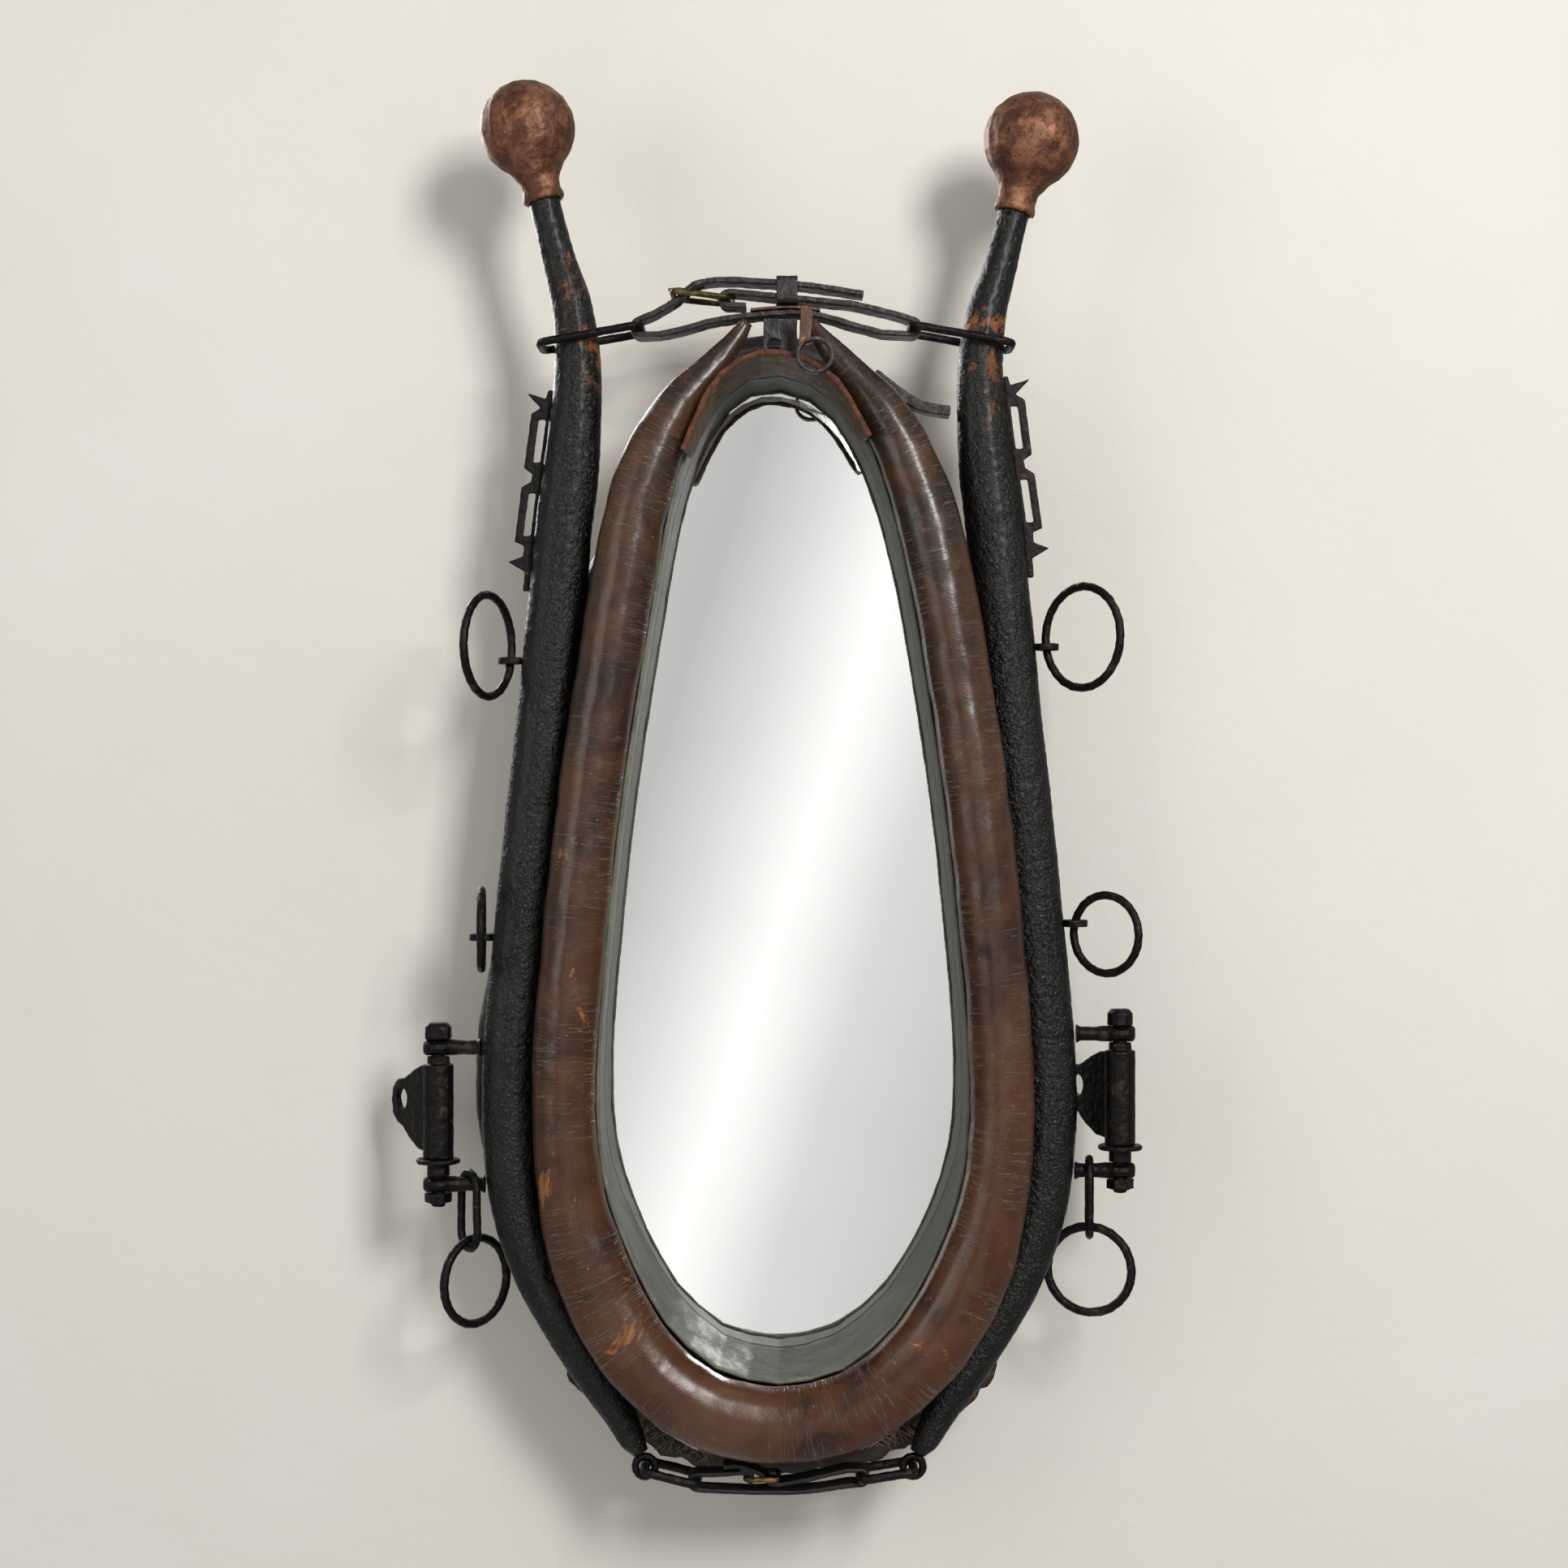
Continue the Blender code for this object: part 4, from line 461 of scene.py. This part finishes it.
def hame_finish():
    """A glossy black coat over a pebbled skin, chipped to brown wood and rust in places."""
    made, tree, shader = new_material("hame_look")
    place, _ = coordinates(tree)
    pebble = noise_map(tree, place, 430.0, 3.0, 0.6, 0.3)
    coarse = noise_map(tree, place, 190.0, 3.0, 0.5)
    drift = noise_map(tree, place, 20.0, 5.0, 0.6)
    colour = mix(tree, ramp(tree, drift, 0.4, 0.7), (0.0020, 0.0019, 0.0018), (0.0075, 0.0065, 0.0058))
    chips = ramp(tree, noise_map(tree, stretch(tree, place, (1.0, 1.0, 0.4)), 75.0, 9.0, 0.74), 0.635, 0.655)
    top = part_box("hame_left")[1].z
    reach = ramp(tree, height_of(tree, place), top - 0.20, top - 0.08)
    chips = times(tree, chips, reach)
    colour = mix(tree, chips, colour, (0.20, 0.085, 0.028))
    pale = ramp(tree, noise_map(tree, place, 260.0, 4.0, 0.7), 0.62, 0.70)
    colour = mix(tree, times(tree, chips, pale), colour, (0.38, 0.24, 0.12))
    dust = ramp(tree, noise_map(tree, place, 60.0, 8.0, 0.75), 0.66, 0.74, 0.0, 0.5)
    colour = mix(tree, dust, colour, (0.10, 0.072, 0.050))
    link = middle("top_link_left").z
    near = times(tree, ramp(tree, height_of(tree, place), link - 0.040, link - 0.015),
                 ramp(tree, height_of(tree, place), link + 0.045, link + 0.015))
    rust = times(tree, near, ramp(tree, noise_map(tree, place, 48.0, 8.0, 0.7, 0.4), 0.53, 0.58))
    colour = mix(tree, rust, colour, (0.21, 0.070, 0.022))
    tree.links.new(colour, shader.inputs["Base Color"])
    gloss = ramp(tree, plus(tree, drift, chips), 0.35, 1.4, 0.22, 0.60)
    tree.links.new(gloss, shader.inputs["Roughness"])
    shader.inputs["Coat Weight"].default_value = 0.15
    shader.inputs["Specular IOR Level"].default_value = 0.34
    shader.inputs["Coat Roughness"].default_value = 0.25
    bump(tree, shader, [(coarse, 0.7, 0.0018), (pebble, 1.0, 0.0016), (chips, 0.5, -0.0004)])
    return made


def old_iron(name, base, rust, rust_at=0.52, metallic=0.85, rough=(0.32, 0.62)):
    made, tree, shader = new_material(name)
    place, _ = coordinates(tree)
    patch = noise_map(tree, place, 85.0, 7.0, 0.68, 0.4)
    pits = noise_map(tree, place, 520.0, 5.0, 0.65)
    colour = mix(tree, ramp(tree, patch, rust_at, rust_at + 0.16), base, rust)
    # Pale speckles: lighter rust flecks, partly a painted speckled sheen brightened into the base colour
    pale_rust_and_sheen = ramp(tree, noise_map(tree, place, 190.0, 7.0, 0.7), 0.62, 0.72, 0.0, 0.6)
    colour = mix(tree, pale_rust_and_sheen, colour, tuple(min(1.0, c * 2.6 + 0.03) for c in rust))
    dark = ramp(tree, pits, 0.34, 0.46, 0.8, 0.0)
    colour = mix(tree, dark, colour, tuple(c * 0.4 for c in base))
    tree.links.new(colour, shader.inputs["Base Color"])
    shader.inputs["Metallic"].default_value = metallic
    gloss = ramp(tree, plus(tree, patch, times(tree, pits, 0.5)), 0.5, 1.1, *rough)
    tree.links.new(gloss, shader.inputs["Roughness"])
    hammered = cells(tree, place, 240.0)
    bump(tree, shader, [(patch, 0.5, 0.0010), (hammered, 0.3, 0.0008), (pits, 0.6, 0.0006)])
    return made


def cut_edge():
    """The raw edge of thick leather, furred and rust coloured."""
    made, tree, shader = new_material("cut_edge_look")
    place, _ = coordinates(tree)
    patch = noise_map(tree, place, 160.0, 6.0, 0.7, 0.8)
    fur = noise_map(tree, place, 900.0, 4.0, 0.7)
    colour = mix(tree, ramp(tree, patch, 0.38, 0.66), (0.050, 0.018, 0.010), (0.210, 0.064, 0.028))
    colour = mix(tree, ramp(tree, fur, 0.60, 0.74, 0.0, 0.7), colour, (0.46, 0.19, 0.09))
    tree.links.new(colour, shader.inputs["Base Color"])
    shader.inputs["Roughness"].default_value = 0.72
    bump(tree, shader, [(patch, 0.7, 0.0016), (fur, 0.8, 0.0009)])
    return made


def board_wood():
    made, tree, shader = new_material("board_look")
    place, _ = coordinates(tree)
    grain = noise_map(tree, stretch(tree, place, (9.0, 60.0, 60.0)), 4.0, 8.0, 0.65, 0.8)
    rings = noise_map(tree, stretch(tree, place, (2.5, 22.0, 22.0)), 2.0, 3.0, 0.5, 1.5)
    colour = mix(tree, ramp(tree, grain, 0.35, 0.65), (0.21, 0.125, 0.062), (0.42, 0.28, 0.155))
    colour = mix(tree, ramp(tree, rings, 0.48, 0.60, 0.0, 0.5), colour, (0.17, 0.095, 0.045))
    tree.links.new(colour, shader.inputs["Base Color"])
    tree.links.new(ramp(tree, grain, 0.3, 0.7, 0.72, 0.5), shader.inputs["Roughness"])
    bump(tree, shader, [(grain, 0.4, 0.0007)])
    return made


def mirror_glass():
    made, tree, shader = new_material("mirror_look")
    place, _ = coordinates(tree)
    shader.inputs["Metallic"].default_value = 1.0
    haze = noise_map(tree, place, 12.0, 5.0)
    colour = mix(tree, ramp(tree, haze, 0.3, 0.8), (0.90, 0.905, 0.905), (0.95, 0.95, 0.95))
    tree.links.new(colour, shader.inputs["Base Color"])
    tree.links.new(ramp(tree, haze, 0.3, 0.8, 0.015, 0.035), shader.inputs["Roughness"])
    return made


def wall_paint():
    made, tree, shader = new_material("wall_look")
    place, _ = coordinates(tree)
    drift = noise_map(tree, place, 2.5, 4.0)
    trowel = noise_map(tree, place, 70.0, 5.0, 0.55, 0.6)
    colour = mix(tree, ramp(tree, drift, 0.35, 0.65), (0.80, 0.775, 0.71), (0.84, 0.820, 0.765))
    tree.links.new(colour, shader.inputs["Base Color"])
    shader.inputs["Roughness"].default_value = 0.85
    bump(tree, shader, [(trowel, 0.35, 0.0012)])
    seen_from = add(tree, "ShaderNodeNewGeometry").outputs["Backfacing"]
    one_sided = add(tree, "ShaderNodeMixShader")
    tree.links.new(seen_from, one_sided.inputs["Fac"])
    tree.links.new(shader.outputs[0], one_sided.inputs[1])
    tree.links.new(add(tree, "ShaderNodeBsdfTransparent").outputs[0], one_sided.inputs[2])
    tree.links.new(one_sided.outputs[0], tree.nodes["Material Output"].inputs["Surface"])
    return made


LOOKS = {
    "roll": roll_leather(),
    "body": dark_leather(
        "body_look", (0.012, 0.009, 0.008), (0.040, 0.027, 0.019), (0.17, 0.10, 0.05), folds=0.5
    ),
    "cap": dark_leather(
        "cap_look", (0.055, 0.032, 0.018), (0.150, 0.105, 0.060), (0.30, 0.24, 0.14), worn_at=0.60
    ),
    "edge": cut_edge(),
    "strap": dark_leather(
        "strap_look", (0.0035, 0.003, 0.003), (0.014, 0.010, 0.008), (0.16, 0.065, 0.030), worn_at=0.70
    ),
    "tab": dark_leather(
        "tab_look", (0.045, 0.017, 0.009), (0.130, 0.048, 0.020), (0.34, 0.13, 0.045), worn_at=0.55
    ),
    "torn": dark_leather(
        "torn_look", (0.010, 0.008, 0.007), (0.050, 0.030, 0.020), (0.26, 0.12, 0.05), worn_at=0.58
    ),
    "straw": dark_leather(
        "straw_look", (0.16, 0.10, 0.05), (0.34, 0.24, 0.13), (0.5, 0.4, 0.26), worn_at=0.6
    ),
    "lining": lining_cloth(),
    "piping": dark_leather(
        "piping_look", (0.115, 0.120, 0.080), (0.21, 0.21, 0.15), (0.36, 0.36, 0.27), worn_at=0.62
    ),
    "hame": hame_finish(),
    "copper": old_iron(
        "copper_look", (0.120, 0.046, 0.024), (0.290, 0.125, 0.068), 0.44, 0.50, (0.34, 0.58)
    ),
    "iron": old_iron("iron_look", (0.010, 0.0085, 0.008), (0.085, 0.045, 0.028), 0.56, 0.7, (0.34, 0.6)),
    "brass": old_iron("brass_look", (0.075, 0.050, 0.022), (0.28, 0.185, 0.070), 0.46),
    "steel": old_iron("steel_look", (0.34, 0.32, 0.30), (0.45, 0.43, 0.40), 0.55, 0.95, (0.30, 0.45)),
    "mirror": mirror_glass(),
    "wood": board_wood(),
}


# ================================================================ the collar
def collar_hub():
    low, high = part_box("forewale_roll")
    return Vector(((low.x + high.x) / 2, (low.y + high.y) / 2, low.z + (high.z - low.z) * 0.40))


def ring_line(points, hub, count, gap):
    """A rough middle line of a ring-shaped piece open at the top: gap is half the opening, in radians."""
    sums = [[Vector(), 0] for _ in range(count)]
    for point in points:
        turn = math.atan2(point.x - hub.x, -(point.z - hub.z))
        share = (turn + math.pi - gap) / (math.tau - 2 * gap)
        if 0 <= share < 1:
            cell = sums[int(share * count)]
            cell[0] += point
            cell[1] += 1
    return [total / number for total, number in sums if number]


def make_roll():
    points, tree = node_tree("forewale_roll")
    hub = collar_hub()
    line = smoothed(ring_line(points, hub, 60, 0.06), 2)
    line = centred(even_line(line, 160), tree, Y_AXIS, 0.06, 4)
    line = even_line(smoothed(line, 12), ROLL_STEPS)
    for end, step in ((0, 1), (-1, -1)):
        toward = (line[end] - line[end + 4 * step]).normalized()
        hit = tree.ray_cast(line[end], toward, 0.08)
        if hit[0] is not None:
            extra = [line[end] + toward * (hit[3] * k / 12) for k in range(1, 13)]
            line = extra[::-1] + line if step == 1 else line + extra
    line = even_line(line, ROLL_STEPS)
    radii = measured_tube(line, tree, Y_AXIS, 0.06, ROUND_STEPS, 10)

    def wear(run, angle, point):
        lump = noise.fractal(point * 28.0, 1.0, 2.0, 3) * 0.0009
        pucker = noise.noise(Vector((run * 330.0, math.cos(angle) * 1.6, math.sin(angle) * 1.6)))
        inner = max(0.0, noise.noise(point * 11.0 + Vector((3.1, 0, 0))) + 0.15)
        groove = -0.00045 * inner * max(0.0, abs(pucker) - 0.22) / 0.3
        return lump + groove - 0.0002

    mesh = sleeve(line, Y_AXIS, radii, wear)
    roll = piece("leather_roll", mesh, LOOKS["roll"], "collar", ["forewale_roll"])
    return line


def make_body():
    mesh = recast("collar_body", 0.0026, 14)
    roughen(mesh, 0.0016, 0.040, 4)
    body = piece("leather_body", mesh, LOOKS["body"], "collar", ["collar_body"])


def make_lining():
    mesh = recast("collar_lining", 0.0013, 6)
    roughen(mesh, 0.0006, 0.022, 4, 5.0)
    piece("cloth_lining", mesh, LOOKS["lining"], "collar", ["collar_lining"])
    mesh = recast("welt_piping", 0.0006, 5, 0.0002)
    roughen(mesh, 0.0003, 0.012, 3, 2.0)
    piece("piping", mesh, LOOKS["piping"], "collar", ["welt_piping"])


def make_cap():
    mesh = recast("throat_cap", 0.0007, 4)
    roughen(mesh, 0.0007, 0.010, 4, 7.0)
    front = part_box("throat_cap")[0].y + 0.0016
    cap = piece("cap_leather_arch", mesh, LOOKS["cap"], "collar", ["throat_cap"])
    mesh.materials.append(LOOKS["edge"])
    for face in mesh.polygons:
        rag = noise.fractal(face.center * 260.0, 1.0, 2.0, 3) * 0.0007
        if face.center.y + rag < front:
            face.material_index = 1
    return cap


# ================================================================ hames, balls and ironwork
def make_hame(side):
    node = "hame_" + side
    points, tree = node_tree(node)
    low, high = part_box(node)
    count = 44
    sums = [[Vector(), 0] for _ in range(count)]
    for point in points:
        share = (point.z - low.z) / (high.z - low.z)
        cell = sums[min(int(share * count), count - 1)]
        cell[0] += point
        cell[1] += 1
    rough = [total / number for total, number in sums if number]
    line = centred(even_line(rough, 120), tree, Y_AXIS, 0.05, 4)
    line = smoothed(line, 8)
    for end, step in ((0, 1), (-1, -1)):
        toward = (line[end] - line[end + 3 * step]).normalized()
        hit = tree.ray_cast(line[end], toward, 0.05)
        if hit[0] is not None:
            line = [hit[0]] + line if step == 1 else line + [hit[0]]
    line = even_line(line, HAME_STEPS)
    radii = measured_tube(line, tree, Y_AXIS, 0.05, ROUND_STEPS, 8)

    def pebble(run, angle, point):
        return noise.fractal(point * 330.0, 1.0, 2.0, 2) * 0.00032 + noise.noise(point * 60.0) * 0.0003

    mesh = sleeve(line, Y_AXIS, radii, pebble)
    piece("hame_bar_" + side, mesh, LOOKS["hame"], "collar", [node])


def make_ball(side):
    node = "hame_ball_" + side
    mesh = recast(node, 0.0011, 10, 0.0003)
    roughen(mesh, 0.00035, 0.006, 3, 4.0)
    piece("copper_ball_" + side, mesh, LOOKS["copper"], "collar", [node])


IRON_PARTS = {
    "ratchet": ("collar", 0.0006, 3, 0.0),
    "upper_eye": ("collar", 0.0005, 4, 0.0001),
    "lower_eye": ("collar", 0.0005, 4, 0.0001),
    "upper_arm": ("collar", 0.0005, 4, 0.0),
    "lower_arm": ("collar", 0.0005, 4, 0.0),
    "tug_bolt": ("collar", 0.0006, 3, 0.0),
    "bolt_nut": ("collar", 0.0005, 3, 0.0),
    "bolt_bush": ("collar", 0.0004, 3, 0.0),
    "top_link": ("collar", 0.0005, 8, 0.0003),
    "toe_eye": ("collar", 0.0005, 6, 0.0002),
    "bottom_link": ("collar", 0.0005, 8, 0.0003),
    "tug_clip": (None, 0.0006, 3, 0.0),
    "tug_link": (None, 0.0005, 8, 0.0003),
    "drop_ring": (None, 0.0005, 8, 0.0003),
    "upper_ring": (None, 0.0005, 8, 0.0003),
    "lower_ring": (None, 0.0005, 8, 0.0003),
}


def make_iron():
    for part, (body, voxel, rounds, swell) in IRON_PARTS.items():
        for side in ("left", "right"):
            node = f"{part}_{side}"
            mesh = recast(node, voxel, rounds, swell)
            roughen(mesh, 0.00022, 0.0045, 3, 1.0 if side == "left" else 9.0)
            piece(f"forged_{node}", mesh, LOOKS["iron"], body or f"{node}_body", [node])


SMALL_PARTS = {
    "top_hame_strap": ("strap", "strap_leather", 0.0006, 3),
    "bottom_hame_strap": ("strap", "strap_leather", 0.0006, 3),
    "top_strap_keeper": ("strap", "strap_leather", 0.0004, 3),
    "hame_tie_strap": ("strap", "strap_leather", 0.0006, 3),
    "top_strap_safe": ("tab", "cap_leather", 0.0004, 3),
    "throat_loop": ("torn", "strap_leather", 0.0005, 4),
    "throat_plate": ("strap", "strap_leather", 0.0005, 3),
    "throat_tab": ("tab", "cap_leather", 0.0005, 3),
    "top_buckle": ("brass", "worn_brass", 0.0004, 5),
    "top_buckle_tongue": ("brass", "worn_brass", 0.0004, 3),
    "bottom_buckle": ("brass", "worn_brass", 0.0004, 5),
}


def make_small_parts():
    for node, (look, slot, voxel, rounds) in SMALL_PARTS.items():
        mesh = recast(node, voxel, rounds)
        roughen(mesh, 0.0003, 0.007, 3, 6.0)
        piece("worn_" + node, mesh, LOOKS[look], "collar", [node])


def make_torn(line):
    """The body's ragged leather under the roll at the bottom, with straw coming out of it."""
    lowest = min(p.z for p in line)
    part = [p for p in line if p.z < lowest + TORN_RISE]
    made = bmesh.new()
    rows = []
    roots = []
    for i, point in enumerate(part):
        run = (part[min(i + 1, len(part) - 1)] - part[max(i - 1, 0)]).normalized()
        out = run.cross(Y_AXIS)
        out = out if out.z < 0 else -out
        fade = min(1.0, min(i, len(part) - 1 - i) / TORN_FADE)
        rag = 0.5 + 0.5 * noise.fractal(Vector((point.x * 95.0, 4.0, 0)), 0.8, 2.0, 4)
        ragged = 0.0050 + 0.0100 * max(0.0, min(rag, 1.0)) + 0.0110 * abs(out.x)
        far = TORN_REACH + fade * ragged
        row = []
        for j in range(TORN_COLUMNS + 1):
            share = j / TORN_COLUMNS
            wave = noise.noise(Vector((point.x * 40.0, share * 2.0, 1.0)))
            spot = point + out * (TORN_ROOT + (far - TORN_ROOT) * share)
            spot.y += TORN_BEHIND + 0.0025 * wave
            row.append(made.verts.new(spot))
        rows.append(row)
        roots.append((row[6].co.copy(), out))
    for first, second in zip(rows, rows[1:]):
        for j in range(TORN_COLUMNS):
            made.faces.new((first[j], first[j + 1], second[j + 1], second[j]))
    bmesh.ops.recalc_face_normals(made, faces=made.faces)
    bmesh.ops.solidify(made, geom=made.faces[:], thickness=TORN_THICKNESS)
    mesh = bpy.data.meshes.new("torn")
    made.to_mesh(mesh)
    made.free()
    piece("torn_leather", mesh, LOOKS["torn"], "collar")
    dice = random.Random(STRAW_SEED)
    straw = bmesh.new()
    for _ in range(STRAW_COUNT):
        shares = [dice.uniform(*span) for span in STRAW_STRETCHES]
        root, out = roots[int(len(roots) * dice.choice(shares))]
        stray = Vector((dice.uniform(-1.3, 1.3), dice.uniform(-0.2, 0.2), dice.uniform(-0.5, 0.5)))
        aim = (out + stray).normalized()
        start = root + Vector((dice.uniform(-0.004, 0.004), dice.uniform(-0.004, 0.001), 0)) - aim * 0.004
        reach = dice.uniform(0.006, 0.014)
        turn = aim.to_track_quat("Z", "Y").to_matrix().to_4x4()
        turn.translation = start + aim * (reach / 2)
        bmesh.ops.create_cone(straw, cap_ends=True, segments=6, radius1=0.00050, radius2=0.00022,
                              depth=reach, matrix=turn)
    mesh = bpy.data.meshes.new("straw")
    straw.to_mesh(mesh)
    straw.free()
    piece("straw_filling", mesh, LOOKS["straw"], "collar")


def make_back():
    for node in ("backing_board", "hanging_batten", "lower_batten"):
        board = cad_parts[node]
        board.data.materials.clear()
        board.data.materials.append(LOOKS["wood"])
        edge = board.modifiers.new("worn edge", "BEVEL")
        edge.width = 0.0010
        edge.segments = 2
        edge.limit_method = "ANGLE"
    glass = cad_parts["mirror_plate"]
    glass.data.materials.clear()
    glass.data.materials.append(LOOKS["mirror"])
    for k in range(1, 5):
        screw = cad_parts[f"board_screw_{k}"]
        screw.data.materials.clear()
        screw.data.materials.append(LOOKS["steel"])


# ================================================================ camera, light and wall
def make_stage():
    cam = bpy.data.cameras.new("camera")
    cam.lens = LENS
    eye = bpy.data.objects.new("camera", cam)
    bpy.context.scene.collection.objects.link(eye)
    hames = middle("hame_left").y
    low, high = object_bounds()
    eye.location = (VIEW_SHIFT, hames - VIEW_DISTANCE, (low.z + high.z) / 2 + VIEW_RISE)
    eye.rotation_euler = SENSOR_TURN
    bpy.context.scene.camera = eye
    bpy.context.scene.view_settings.view_transform = "Standard"
    made = bmesh.new()
    bmesh.ops.create_grid(made, x_segments=1, y_segments=1, size=WALL_SIZE)
    mesh = bpy.data.meshes.new("wall")
    made.to_mesh(mesh)
    made.free()
    mesh.materials.append(wall_paint())
    wall = bpy.data.objects.new("wall", mesh)
    bpy.context.scene.collection.objects.link(wall)
    wall.location = (0, WALL_GAP, 0)
    wall.rotation_euler = SENSOR_TURN
    wall.visible_diffuse = False
    wall.visible_glossy = False
    wall.visible_shadow = False


def lamp(name, place, aim, size, power, tint=(1, 1, 1)):
    data = bpy.data.lights.new(name, "AREA")
    data.shape = "RECTANGLE"
    data.size, data.size_y = size
    data.energy = power
    data.color = tint
    obj = bpy.data.objects.new(name, data)
    bpy.context.scene.collection.objects.link(obj)
    obj.location = place
    obj.rotation_euler = (Vector(aim) - Vector(place)).to_track_quat("-Z", "Y").to_euler()


def make_light():
    centre = (0, -0.08, -0.11)
    lamp("key", (0.95, -2.2, 0.85), centre, (0.55, 0.75), 41.0, (1.0, 0.985, 0.955))
    lamp("fill", (-2.0, -2.0, 0.3), centre, (1.2, 1.6), 12.0, (1.0, 0.985, 0.96))
    lamp("back", (-1.4, 1.9, 0.9), centre, (1.2, 1.2), 30.0)
    world = bpy.data.worlds.new("studio")
    bpy.context.scene.world = world
    world.use_nodes = True
    tree = world.node_tree
    facing = add(tree, "ShaderNodeTexCoord").outputs["Generated"]
    split = add(tree, "ShaderNodeSeparateXYZ")
    tree.links.new(facing, split.inputs[0])
    slant = plus(tree, split.outputs["X"], times(tree, split.outputs["Z"], -0.32))
    band = add(tree, "ShaderNodeValToRGB")
    tree.links.new(ramp(tree, slant, -0.30, 0.30), band.inputs["Fac"])
    stops = [(0.0, 0.26), (0.24, 0.30), (0.36, 0.62), (0.418, 0.56), (0.467, 0.78), (0.50, 0.98)]
    stops += [(0.524, 1.12), (0.548, 1.0), (0.585, 0.77), (0.64, 0.68), (0.86, 0.30), (1.0, 0.26)]
    while len(band.color_ramp.elements) < len(stops):
        band.color_ramp.elements.new(0.5)
    for element, (spot, shade) in zip(band.color_ramp.elements, stops):
        element.position = spot
        element.color = (shade, shade * 0.993, shade * 0.975, 1.0)
    tree.links.new(band.outputs["Color"], tree.nodes["Background"].inputs["Color"])
    tree.nodes["Background"].inputs["Strength"].default_value = 1.0


make_stage()
make_light()
make_back()
make_torn(make_roll())
make_body()
make_lining()
make_cap()
for side_name in ("left", "right"):
    make_hame(side_name)
    make_ball(side_name)
make_iron()
make_small_parts()

bpy.context.view_layer.update()
